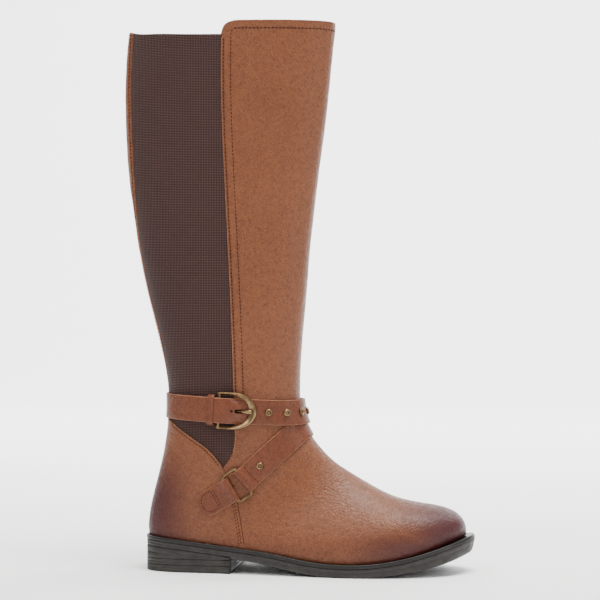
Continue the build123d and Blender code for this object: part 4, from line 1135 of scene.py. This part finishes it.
# distance of a row from the edge beside it, its distance where it is wide, and the top row
EDGE_ROW = 1.7
WIDE_ROW = 7.8
TOP_ROW = 447.6
row_close = plane_row(cut_between(shifted(gore_front, EDGE_ROW), 145.0, 440.0))
inner_row = cut_between(shifted(gore_front, WIDE_ROW), 145.0, 441.5)
row_head = inner_row[np.argmax(inner_row[:, 1])]
turn_point = (row_head[0] + 3.6, TOP_ROW)
round_corner = curve_through((row_head, (row_head[0] + 1.0, 446.2), turn_point), 20)
top_row = round_at(TOP_ROW, float(side_view(*turn_point)[1]), -1.49, 160)
row_wide = plane_row(inner_row)
row_top = row_on_face(np.vstack((side_line(round_corner), top_row[1:])))
row_gore_back = plane_row(cut_between(shifted(gore_back, -EDGE_ROW), 146.0, 444.0))
row_zip_front = plane_row(straight((ZIP_X + ZIP_ROW, 445.0), (ZIP_X + ZIP_ROW, 74.0), 120), -1.0)
row_zip_back = plane_row(straight((ZIP_X - ZIP_ROW, 439.0), (ZIP_X - ZIP_ROW, 90.0), 120), -1.0)
row_rear_top = row_on_face(
    round_at(lambda x: back_top_height(x) - 2.6, back_top[2, 1], back_top[-3, 1], 160, 0.3, 3.0)
)
quarter_low = downwards(cut_between(quarter_seam, 24.0, 80.0))
inner_low = downwards(cut_between(inner_seam, 24.0, 60.0))
rows_outer = [plane_row(shifted(quarter_low, -gap), lift=0.4) for gap in (2.4, 4.2)]
rows_inner = [plane_row(shifted(inner_low, -gap), -1.0, 0.4) for gap in (2.4, 4.2)]
top_shift = shifted(quarter_top, EDGE_ROW)
top_shift = top_shift[(top_shift[:, 0] > -104.0) & (top_shift[:, 0] < -62.0)]
row_quarter_top, row_quarter_top_in = (plane_row(top_shift, side, 0.4) for side in INNER)

# ---------------------------------------------------------------- upper: panels
shaft_down = graded(377.0, 13.0, 3.0, 2.4)
front = sewn_panel(
    "shaft_front", (front_top, front_bottom, front_left, front_right),
    graded(195.0, 10.0, 7.0, 2.2), shaft_down,
    [row_close[0], row_wide[0], row_top[0], row_zip_front[0]], material=tan,
)
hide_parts("shaft_front_panel")
back = sewn_panel(
    "shaft_back", (back_top, back_bottom, gore_back_line, back_right),
    graded(115.0, 4.0, 7.0, 2.6), graded(345.0, 5.0, 3.0, 2.6),
    [row_gore_back[0], row_zip_back[0], row_rear_top[0]], material=tan,
)
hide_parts("shaft_back_panel")
gore = sewn_panel(
    "gore", (gore_top_line, gore_bottom_line, gore_front_line, gore_back_line),
    graded(82.0, 2.0, 2.0, 2.2), graded(345.0, 4.0, 2.0, 2.6), [],
    height=-0.75, fold=0.5, sheet=0.9, soft=0.6, edges=("top",), material=elastic,
)
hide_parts("elastic_gore")
quarter_out = sewn_panel(
    "quarter_outer", (quarter_outer_top, quarter_outer_bottom, quarter_outer_left, back_centre),
    graded(95.0, 7.0, 1.0, 2.2), graded(95.0, 5.0, 1.0, 2.2),
    [rows_outer[0][0], rows_outer[1][0], row_quarter_top[0]], height=0.45, sheet=2.2,
    edges=("top", "left"), material=tan,
)
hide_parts("outer_quarter")
# the inner side runs the other way round, so its columns are listed from the back
quarter_in = sewn_panel(
    "quarter_inner",
    (quarter_inner_top[::-1], quarter_inner_bottom[::-1], back_centre * INNER, quarter_inner_left),
    graded(95.0, 1.0, 7.0, 2.2), graded(95.0, 5.0, 1.0, 2.2),
    [rows_inner[0][0], rows_inner[1][0], row_quarter_top_in[0]], height=0.45, sheet=2.2,
    edges=("top", "right"), material=tan,
)
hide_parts("inner_quarter")
vamp = sewn_panel(
    "vamp_leather", (vamp_top, vamp_bottom, vamp_left, vamp_left * INNER),
    graded(190.0, 3.0, 3.0, 1.9), graded(200.0, 2.0, 0.5, 2.0),
    [], soft=0.8, edges=(), material=tan,
)
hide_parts("vamp")

stitches("stitches_shaft", [row_close, row_wide, row_top, row_gore_back, row_rear_top])
stitches("stitches_zip", [row_zip_front, row_zip_back])
stitches(
    "stitches_quarters",
    [*rows_outer, row_quarter_top, row_quarter_top_in, *rows_inner],
    pitch=2.7, length=2.0, radius=0.3,
)


def edge_cord(name, curve, height, radius, material):
    """A thin line along a seam, where the cut edge of the leather shows."""
    points, normals = row_on_face(side_line(curve), 2.0)
    centre = points + normals * height
    ahead = unit(np.gradient(centre, axis=0))
    across = unit(np.cross(normals, ahead))
    new_object(name, *tube(circles(centre, across, normals, radius, 6)), "boot", material)


edge_cord("gore_edge", shifted(cut_between(gore_front, 100.0, 440.0), 0.15), -0.42, 0.34, raw_edge)
edge_cord("quarter_edge", shifted(quarter_low, -0.1), 0.12, 0.3, thread)
quarter_rim = shifted(cut_between(quarter_top, -106.0, -60.0, 0), 0.1)
edge_cord("quarter_top_edge", quarter_rim, 0.12, 0.24, raw_edge)

# ---------------------------------------------------------------- inside the boot
def inner_sheet(name, left, right):
    """A sheet of lining inside the shaft, between two upright lines of (t, angle)."""
    top, bottom = (straight(left[k], right[k], 60) for k in (0, -1))
    shares = np.linspace(0.0, 1.0, 60), np.linspace(0.0, 1.0, 120)
    face, out = patch(top, bottom, left, right, *shares)
    sheet = slab(face - out * LINING_DEPTH, face - out * (LINING_DEPTH + LINING_THICK))
    return new_object(name, *sheet, "boot", cloth)


LINING_DEPTH = 2.75
LINING_THICK = 0.8
lining_left = side_line(straight((-50.5, 451.0), (-44.5, 100.0), 60))
zip_front, zip_rear = ZIP_X + ZIP_LINING, ZIP_X - ZIP_LINING
lining_right = side_line(straight((zip_front, 451.0), (zip_front, 100.0), 60), -1.0)
lining_front = inner_sheet("lining_front", lining_left, lining_right)
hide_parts("shaft_lining")
rear_left = ((-133, 441), (-130, 330), (-120, 236), (-104, 178), (-100, 110))
rear_left = side_line(curve_through(rear_left, 60))
rear_right = inner_side(straight((zip_rear, 439.0), (zip_rear, 100.0), 60))
lining_rear = inner_sheet("lining_rear", rear_left, rear_right)
rows, columns = 110, 90
foot_grid = np.meshgrid(np.linspace(9.2, 23.2, rows), once_round(columns), indexing="ij")
foot_points = np.vstack([on_face(*foot_grid, lift).reshape(-1, 3) for lift in (-2.8, -3.5)])
foot_faces = grid_faces(rows, columns, closed=True).tolist()
foot_faces += grid_faces(rows, columns, rows * columns, closed=True, flip=True).tolist()
for k in range(columns):
    n = (k + 1) % columns
    foot_faces.append([k, k + rows * columns, n + rows * columns, n])
    a, b = (rows - 1) * columns + k, (rows - 1) * columns + n
    foot_faces.append([a, b, b + rows * columns, a + rows * columns])
foot_sock = new_object("foot_lining_sock", foot_points, foot_faces, "boot", cloth)
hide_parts("foot_lining")

# the padded footbed: a crowned cushion on the insole
bed_x = np.linspace(-116.0, 118.0, 118)[:, None]
bed_side = np.linspace(-1.0, 1.0, 30)
bed_low = welt_height(bed_x) + 2.4
bed_t, bed_angle = side_view(bed_x, bed_low + 2.0)
outer_y, inner_y = (on_face(bed_t, bed_angle * side, -4.6)[..., 1] for side in INNER)
bed_end = np.clip((np.abs(bed_x - 1.0) - 101.0) / 16.2, 0.0, 1.0)
bed_end = np.sqrt(np.clip(1.0 - bed_end**2, 0.02, 1.0))
bed_y = (outer_y + inner_y) / 2.0 + ((inner_y - outer_y) / 2.0 * bed_end - 0.6) * bed_side
crown = 3.6 * (1.0 - np.abs(bed_side) ** 6) ** 0.5 * bed_end**0.4
cup = 0.55 * np.abs(bed_side) ** 3 * np.clip((-40.0 - bed_x) / 50.0, 0.0, 1.0)
bed_top = bed_low + 0.2 + crown + cup
bed = slab(together(bed_x, bed_y, bed_top), together(bed_x, bed_y, bed_low))
footbed = new_object("footbed_pad", *bed, "boot", sock)
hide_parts("footbed")

# ---------------------------------------------------------------- straps in place
studded = strap_object("strap_studded", studded_strap_rings())
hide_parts("studded_strap")
buckled = strap_object("strap_buckle_end", buckle_strap_rings())
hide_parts("buckle_strap")
crossing = strap_object("strap_cross", cross_strap_rings())
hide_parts("cross_strap")
tab = strap_object("strap_tab", tab_rings())
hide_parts("heel_tab")


def on_strap(x, plane, across_by, lift):
    """Points and outward directions over a strap, at x along it and a distance across."""
    angles = angle_where(x, plane)
    here, across, out, t = strap_frames(angles, plane)
    place = here + across * across_by[:, None]
    return place + out * (meet_face(place, out, t, angles) + lift)[:, None], out


# stitching round the tab, and where both straps are folded round the ring
tab_half = np.array(
    (
        (-65.4, 7.7), (-68.5, 7.7), (-70.4, 7.5), (-71.8, 7.0), (-73.0, 6.1), (-73.9, 4.9),
        (-74.5, 3.4), (-74.8, 1.7),
    )
)
tab_loop = curve_through(np.vstack((tab_half, (-74.9, 0.0), (tab_half * INNER)[::-1])), 60)
strap_rows = [on_strap(tab_loop[:, 0], TAB, tab_loop[:, 1], STRAP_GAP + STRAP)]
across_fold = np.linspace(-9.0, 9.0, 30)
for x in (-63.2, -64.9):
    lift = loop_values(tab_end[0], -1.0, TAB, np.array((x - 3.0, x, x + 3.0)))[1][1]
    strap_rows.append(on_strap(np.full(30, x), TAB, across_fold, lift))
fold_x = np.full(30, cross_end[0] + 7.6 * CROSS[0][2])
strap_rows.append(on_strap(fold_x, CROSS, across_fold, STRAP_GAP + STRAP))
stitches("stitches_straps", strap_rows, pitch=2.4, length=1.8, radius=0.28)

# ---------------------------------------------------------------- buckle
bar_angle = angle_where(BAR_X, ANKLE)
bar_foot = on_face(at_level(bar_angle, *ANKLE), bar_angle)[0]
far_angle = angle_where(BAR_X + 31.0, ANKLE)
far_foot = on_face(at_level(far_angle, *ANKLE), far_angle)[0]
buckle_x = unit(far_foot - bar_foot)
buckle_out = unit(np.cross(buckle_x, ANKLE[0]))
buckle_up = np.cross(buckle_out, buckle_x)

# height of the boot's face under the buckle, along it
ground_x = np.linspace(-6.0, 36.0, 60)
points = bar_foot + ground_x[:, None] * buckle_x
angles = angle_where(points[:, 0], ANKLE)
outwards = np.broadcast_to(buckle_out, points.shape)
ground = meet_face(points, outwards, at_level(angles, *ANKLE), angles)


def in_buckle(x, up, out):
    """Points in the buckle's own axes: along the strap, across it and out from the boot."""
    return bar_foot + together(x, up, out) @ np.array((buckle_x, buckle_up, buckle_out))


# the buckle's frame along the strap: its height over the boot, its thickness and its edges
FRAME_LOW = ((-2.2, 1.35), (6.0, 1.35), (14.0, 2.4), (20.0, 2.6), (32.5, 2.5))
FRAME_THICK = ((-2.2, 2.4), (18.0, 2.4), (32.5, 2.6))
OUTER_ARC = ((9.0, -15.5), (18.5, -14.2), (25.6, -10.9), (29.9, -5.8))
INNER_ARC = ((11.0, -12.4), (17.4, -11.1), (21.8, -8.2), (24.4, -4.2))


def horseshoe(end_y, arc, tip_x):
    """One edge of the buckle's frame in its plane, from its lower leg round to its upper."""
    arc = np.array(arc)
    bend = curve_through(np.vstack((arc, (tip_x, 0.0), (arc * INNER)[::-1])), 61)
    leg = np.linspace((-2.4, end_y), arc[0], 14)[:-1]
    return np.vstack((leg, bend, (leg * INNER)[::-1]))


# across the frame's bar: places from its inner to its outer edge, and heights
FRAME_SECTION = np.array(
    (
        (0.0, 0.12), (0.0, 0.42), (0.1, 0.6), (0.42, 0.80), (0.52, 0.90), (0.66, 1.0), (0.84, 0.97),
        (0.96, 0.80), (1.0, 0.55), (1.0, 0.25), (0.93, 0.06), (0.8, 0.0), (0.15, 0.0),
    )
)
rings = []
outer_path, inner_path = horseshoe(-15.0, OUTER_ARC, 31.4), horseshoe(-12.4, INNER_ARC, 25.2)
for k, (inside, outside) in enumerate(zip(inner_path, outer_path)):
    end = min(k, len(outer_path) - 1 - k)
    shrink = (0.35, 0.75, 0.93)[end] if end < 3 else 1.0
    centre = (inside + outside) / 2.0
    inside, outside = centre + (inside - centre) * shrink, centre + (outside - centre) * shrink
    plan = inside + (outside - inside) * FRAME_SECTION[:, :1]
    low = np.interp(centre[0], ground_x, ground) + from_list(FRAME_LOW, centre[0])
    thick = from_list(FRAME_THICK, centre[0])
    rings.append(in_buckle(*plan.T, low + thick * (0.5 + (FRAME_SECTION[:, 1] - 0.5) * shrink)))
buckle_frame = new_object("buckle_horseshoe", *tube(np.array(rings)), "buckle", brass)
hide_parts("buckle_frame")

# the prong: an arm that rests on the frame, and an eye round the bar
rest = max(np.interp((25.2, 27.0, 28.8), ground_x, ground)) + 5.35
arm = (
    (0.9, 2.55), (5.0, 2.5), (9.5, 2.52), (14.0, 2.85), (18.6, 4.1), (23.2, rest + 0.62),
    (26.2, rest + 0.86), (28.2, rest + 0.8),
)
arm = curve_through(arm, 40)
turn = once_round(12)
arm_rings = []
for k, ((x, out), (by_x, by_out)) in enumerate(zip(arm, unit(np.gradient(arm, axis=0)))):
    swell = max(k / 39.0 - 0.8, 0.0) / 0.2 * math.pi
    close = 0.3 if k in (0, 39) else 1.0
    wide = (1.25 + 0.45 * math.sin(swell)) * close
    through = (0.78 + 0.25 * math.sin(swell)) * close * np.sin(turn)
    arm_rings.append(in_buckle(x - by_out * through, wide * np.cos(turn), out + by_x * through))
q = once_round(24)[:, None]
reach = 1.66 + 0.42 * np.sin(turn)
eye = in_buckle(reach * np.cos(q), 1.2 * np.cos(turn), 2.55 + reach * np.sin(q))
tongue = join((tube(np.array(arm_rings)), hoop(eye)))
prong = new_object("buckle_tongue", *tongue, "prong", brass)
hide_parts("buckle_prong")


def punch(target, cutters):
    """Cuts shapes out of a piece and keeps the result as its mesh."""
    for cutter in cutters:
        cut = target.modifiers.new("cut", "BOOLEAN")
        cut.operation = "DIFFERENCE"
        cut.solver = "EXACT"
        cut.object = cutter
    bpy.context.view_layer.update()
    evaluated = target.evaluated_get(bpy.context.evaluated_depsgraph_get())
    mesh = bpy.data.meshes.new_from_object(evaluated)
    target.modifiers.clear()
    target.data = mesh
    for cutter in cutters:
        bpy.data.objects.remove(cutter)


def plug(name, outline, low, high):
    """A cutter through the strap: an outline in the buckle's plane."""
    return bare_object(name, *tube(np.array([in_buckle(*outline.T, h) for h in (low, high)])))


turn = once_round(20)
slot_end = 19.0 + np.copysign(3.8, np.cos(turn))
slot_outline = together(slot_end + 1.7 * np.cos(turn), 1.7 * np.sin(turn))
hole_outline = together(11.0 + 1.1 * np.cos(turn), 1.1 * np.sin(turn))
slot_cutter = plug("slot_cutter", slot_outline, -1.0, 14.0)
punch(studded, (slot_cutter, plug("hole_cutter", hole_outline, 2.0, 14.0)))
chape_outline = np.array(((-3.4, -1.75), (3.6, -1.75), (3.6, 1.75), (-3.4, 1.75)))
punch(buckled, (plug("chape_cutter", chape_outline, -1.5, 9.0),))

# the leather stands back from the lower end of the zip, so that the slider has its way
way = ((-59.3, 73.0), (-50.7, 73.0), (-50.7, 101.0), (-59.3, 101.0))
way = np.array([[(x, y, z) for x, z in way] for y in (45.0, 26.4)])
for piece in (quarter_in, foot_sock, crossing):
    punch(piece, (bare_object("zip_way", *tube(way)),))

# keeper: a leather loop round both layers of strap
keeper_rings = []
KEEPER_X = BAR_X - 5.9
for along in np.linspace(-2.7, 2.7, 7):
    angles = angle_where(KEEPER_X + along, ANKLE)
    here, across, out, t = strap_frames(angles, ANKLE)
    half = 0.33 if abs(along) > 2.5 else 0.55
    top = float(from_list(TOP_STRAP, KEEPER_X + along)) + STRAP
    side = np.array(
        ((-11.9, 0.3), (-12.0, top - 1.6), (-11.2, top - 0.2), (-9.8, top + 0.45), (-5.0, top + 0.42))
    )
    path = curve_through(np.vstack((side, (0.0, top + 0.4), (side * (-1.0, 1.0))[::-1])), 60)
    probe = np.linspace(-12.2, 12.2, 5)
    rise = [float(meet_face(here + across * place, out, t, angles)[0]) for place in probe]
    step = unit(np.gradient(path, axis=0))
    outward = half * together(-step[:, 1], step[:, 0])
    path[:, 1] += np.interp(path[:, 0], probe, rise)
    loop = np.vstack((path + outward, (path - outward)[::-1]))
    keeper_rings.append(here[0] + across[0] * loop[:, :1] + out[0] * loop[:, 1:])
keeper = new_object("strap_loop", *tube(np.array(keeper_rings)), "boot", band)
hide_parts("strap_keeper")


# ---------------------------------------------------------------- studs and ring
STUD_PROFILE = (
    (2.85, -0.1), (3.05, 0.25), (3.0, 0.8), (2.75, 1.25), (2.35, 1.5), (1.95, 1.45), (1.7, 1.1),
    (1.55, 0.6), (1.4, 0.35), (1.1, 0.4), (0.85, 0.75), (0.5, 0.95), (0.05, 1.0),
)


def stud_mesh(centre, across, out):
    """A round stud with a raised rim and a low dome; its profile lists radii and heights."""
    turn = once_round(28)[:, None]
    circle = np.cos(turn) * across + np.sin(turn) * np.cross(across, out)
    rings = [centre + out * height + radius * circle for radius, height in STUD_PROFILE]
    return tube(np.array(rings))


STUD_PITCH = 15.0
walk_ends = angle_where(-21.7, ANKLE)[0], angle_where(-34.0, ANKLE, -1.0)[0]
walk = np.linspace(*map(float, walk_ends), 900)
here, across, out, t = strap_frames(walk, ANKLE)
reach = lengths(here + out * 2.5)
studs = []
for place in np.arange(7) * STUD_PITCH:
    if place <= reach[-1]:
        k = int(np.argmin(np.abs(reach - place)))
        lift = float(from_list(TOP_STRAP, here[k][0])) + STRAP + 0.15
        studs.append(stud_mesh(here[k] + out[k] * lift, across[k], out[k]))
studs = new_object("studs_ankle", *join(studs), "boot", brass)
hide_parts("strap_studs")
here, across, out, t = strap_frames(angle_where(-28.3, CROSS), CROSS)
stud_points = stud_mesh(here[0] + out[0] * (STRAP_GAP + STRAP), across[0], out[0])
stud = new_object("stud_cross", *stud_points, "boot", brass)
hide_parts("cross_strap_stud")

RING_PLANE = plane_through(35.0, RING_AT)
here, across, out, t = strap_frames(angle_where(RING_AT[0], RING_PLANE), RING_PLANE)
ring_across, ring_out = across[0], out[0]
turn = np.linspace(0.0, 0.5 * math.pi, 8)
bend = 2.4 * together(np.cos(turn), np.sin(turn))
quarter_loop = (10.2, 4.3) + bend
next_loop = ((-1.0, 1.0) * quarter_loop)[::-1]
half_loop = np.vstack((quarter_loop, next_loop))
path = smooth_ring(np.vstack((half_loop, -half_loop)), 110)
centres = here[0] + ring_out * (BAR_OFF + 0.1)
centres = centres + path[:, :1] * ring_across + path[:, 1:] * np.cross(ring_across, ring_out)
ahead = unit(np.roll(centres, -1, axis=0) - np.roll(centres, 1, axis=0))
rings = circles(centres, np.cross(ahead, ring_out), ring_out, 1.15, 14)
ring = new_object("ring_wire", *hoop(rings), "boot", brass)
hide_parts("strap_ring")

# ---------------------------------------------------------------- sole in place
def toe_round(x):
    """Share of the extra rounding of the sole's edge, growing towards the toe's end."""
    return np.clip((x - 118.0) / 22.0, 0.0, 1.0)**2


def stack(loop, profile, top, bottom, lean=(0.0, 0.0)):
    """Rings of a sole layer. The profile lists inset, share from top to bottom and a step.

    Lean is how far the edge stands back at the toe's end, at its top and at its bottom.
    """
    rings = []
    for inset, level, step in profile:
        back = (lean[0] + (lean[1] - lean[0]) * level) * toe_round(loop[:, 0])
        plan = toward_middle(loop, inset + back)
        high, low = top(plan[:, 0]), bottom(plan[:, 0])
        rings.append(np.column_stack((plan, high + (low - high) * level + step)))
    return np.array(rings)


def welt_low(x):
    return welt_height(x) - WELT


def outsole_low(x):
    return np.where(x < HEEL_FRONT, welt_height(x) - 8.2, tread_height(x))


WELT_PROFILE = (
    (10.6, 0.0, 0.0), (4.0, 0.0, 0.0), (1.7, 0.0, 0.0), (1.2, 0.0, 0.12), (0.75, 0.0, 0.14),
    (0.35, 0.0, -0.05), (0.1, 0.0, -0.4), (0.0, 0.0, -0.9), (0.0, 0.6, 0.0), (0.15, 0.85, 0.0),
    (0.5, 1.0, 0.05), (1.0, 1.0, 0.0), (10.6, 1.0, 0.0),
)
points, faces = hoop(stack(sole_loop, WELT_PROFILE, welt_height, welt_low, (1.3, 0.2)))
welt = new_object("welt_rand", points, faces[:, ::-1], "boot", welt_dark_with_painted_shade)
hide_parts("welt")

SOLE_PROFILE = (
    (9.0, 0.0, 0.0), (1.4, 0.0, 0.0), (0.8, 0.0, -0.1), (0.45, 0.0, -0.35), (0.3, 0.0, -0.7),
    (0.3, 0.32, 0.0), (0.42, 0.34, -0.1), (0.42, 0.38, -0.1), (0.3, 0.41, -0.1), (0.3, 0.72, 0.0),
    (0.45, 0.86, 0.0), (0.8, 0.95, 0.0), (1.4, 1.0, 0.0), (4.2, 1.0, 0.0), (4.5, 1.0, 0.7),
    (6.0, 1.0, 0.7), (6.3, 1.0, 0.0),
)
points, faces = solid_from(stack(sole_loop, SOLE_PROFILE, welt_low, outsole_low, (0.1, 2.3)))
outsole = new_object("outsole_tread", points, [face[::-1] for face in faces], "boot", rubber)
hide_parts("outsole")

heel_loop = rear_of(sole_loop, HEEL_FRONT + 0.4)


def level(height):
    return lambda x: np.full(len(x), height)


def heel_layer(name, high, low, node, notch):
    """One lift of the heel with softened edges; high and low give heights at x."""
    shares = (
        (6.0, 0.0, 0.0), (0.9, 0.0, 0.0), (0.5, 0.0, -0.08), (0.3, 0.0, -0.32),
        (0.3, notch, 0.25), (0.55, notch, 0.08), (0.55, notch, -0.08), (0.3, notch, -0.25),
        (0.3, 1.0, 0.32), (0.5, 1.0, 0.08), (0.9, 1.0, 0.0), (6.0, 1.0, 0.0),
    )
    points, faces = tube(stack(heel_loop, shares, high, low))
    made = new_object(name, points, [face[::-1] for face in faces], "boot", rubber)
    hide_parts(node)


heel_layer("heel_wedge", lambda x: welt_height(x) - 8.25, level(11.05), "heel_seat_wedge", 0.5)
heel_layer("heel_middle", level(10.95), level(6.05), "heel_lift", 0.5)
heel_layer("heel_top", level(5.95), level(0.0), "heel_top_piece", 0.45)

# ---------------------------------------------------------------- zip
TOOTH_PITCH = 1.4
# places along a tooth, from its foot to its tip, and its thickness there
TOOTH = np.array(((-1.0, 0.45), (-0.7, 0.9), (0.0, 1.0), (0.7, 0.95), (1.0, 0.5)))
place, size = TOOTH.T[..., None]
turn = once_round(8)
for side, low, name in ((1.0, 66.5, "front"), (-1.0, 66.5 + TOOTH_PITCH / 2.0, "rear")):
    x = ZIP_X + side * (1.34 - 0.88 * place)
    y = 31.4 + 0.78 * size * np.cos(turn)
    across = 0.46 * size * np.sin(turn)
    teeth = [tube(together(x, y, z + across)) for z in np.arange(low, 441.0, TOOTH_PITCH)]
    row = new_object("coil_" + name, *join(teeth), "boot", coil)
    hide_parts("zip_coil_" + name)

bevelled = {"zip_slider": 0.35, "zip_pull": 0.3, "zip_stops": 0.25, "buckle_bar": 0.1}
nodes_in = (
    (brass, ("zip_slider", "zip_pull", "zip_stops", "buckle_bar")),
    (tape, ("zip_tape_front", "zip_tape_rear")),
    (sock, ("zip_guard",)),
    (steel, ("steel_shank", "heel_nails")),
    (cork, ("cork_filler",)),
    (board, ("insole_board", "heel_counter", "toe_puff")),
)
for finish, node in [(finish, node) for finish, nodes in nodes_in for node in nodes]:
    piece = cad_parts[node]
    piece.data.materials.clear()
    piece.data.materials.append(finish)
    if node in bevelled:
        soft = piece.modifiers.new("edge", "BEVEL")
        soft.width = bevelled[node] * MM
        soft.segments = 2
        soft.limit_method = "ANGLE"
        soft.angle_limit = math.radians(40.0)

# ---------------------------------------------------------------- stage
def studio_light(name, place, size, power, colour, target=(0.0, 0.0, 0.22)):
    data = bpy.data.lights.new(name, "AREA")
    data.shape = "RECTANGLE"
    data.size, data.size_y = size
    data.energy = power
    data.color = colour
    lamp = bpy.data.objects.new(name, data)
    lamp.location = place
    lamp.rotation_euler = (Vector(target) - Vector(place)).to_track_quat("-Z", "Y").to_euler()
    bpy.context.scene.collection.objects.link(lamp)
    return lamp


floor_mesh = bpy.data.meshes.new("floor")
sweep = curve_through(((2.2, 0.0), (2.9, 0.12), (3.35, 0.5), (3.6, 1.1)), 24)
line = np.vstack(((-9.0, 0.0), sweep, (3.6, 9.0)))
floor_points = np.vstack([np.insert(line, 0, x, axis=1) for x in (-9.0, 9.0)])
floor_mesh.from_pydata(floor_points.tolist(), [], grid_faces(2, len(line)).tolist())
floor_mesh.polygons.foreach_set("use_smooth", [True] * len(floor_mesh.polygons))
floor = bpy.data.objects.new("floor", floor_mesh)
bpy.context.scene.collection.objects.link(floor)
floor_mesh.materials.append(plain_finish("floor", (0.90, 0.90, 0.90), 0.75, 0.005, 2.0, 0.0))
world = bpy.data.worlds.new("studio")
world.use_nodes = True
world.node_tree.nodes["Background"].inputs["Color"].default_value = (1.0, 1.0, 1.0, 1.0)
world.node_tree.nodes["Background"].inputs["Strength"].default_value = 0.62
bpy.context.scene.world = world
lamps = [
    studio_light("key", (-1.2, -1.6, 1.9), (1.3, 1.3), 30.0, (1.0, 0.985, 0.96)),
    studio_light("side", (1.9, -0.9, 1.1), (0.8, 1.6), 16.0, (1.0, 0.99, 0.98)),
    studio_light("top", (0.35, -0.25, 2.2), (1.1, 1.1), 90.0, (1.0, 0.99, 0.97)),
    studio_light("wall_left", (-1.3, 1.3, 1.9), (1.4, 1.4), 150.0, (1.0, 1.0, 1.0), (-0.5, 3.4, 0.5)),
    studio_light("wall_right", (1.3, 1.3, 1.9), (1.4, 1.4), 150.0, (1.0, 1.0, 1.0), (0.1, 3.4, 0.5)),
]

camera_data = bpy.data.cameras.new("camera")
camera_data.lens = 115.02
camera_data.sensor_width = 36.0
camera_data.shift_x = 0.00125
camera_data.shift_y = -0.0217
camera = bpy.data.objects.new("camera", camera_data)
turned = math.radians(8.0)
camera.location = (1.6 * math.sin(turned), -1.6 * math.cos(turned), 0.235)
camera.rotation_euler = (math.radians(90.0), 0.0, turned)
bpy.context.scene.collection.objects.link(camera)
bpy.context.scene.camera = camera
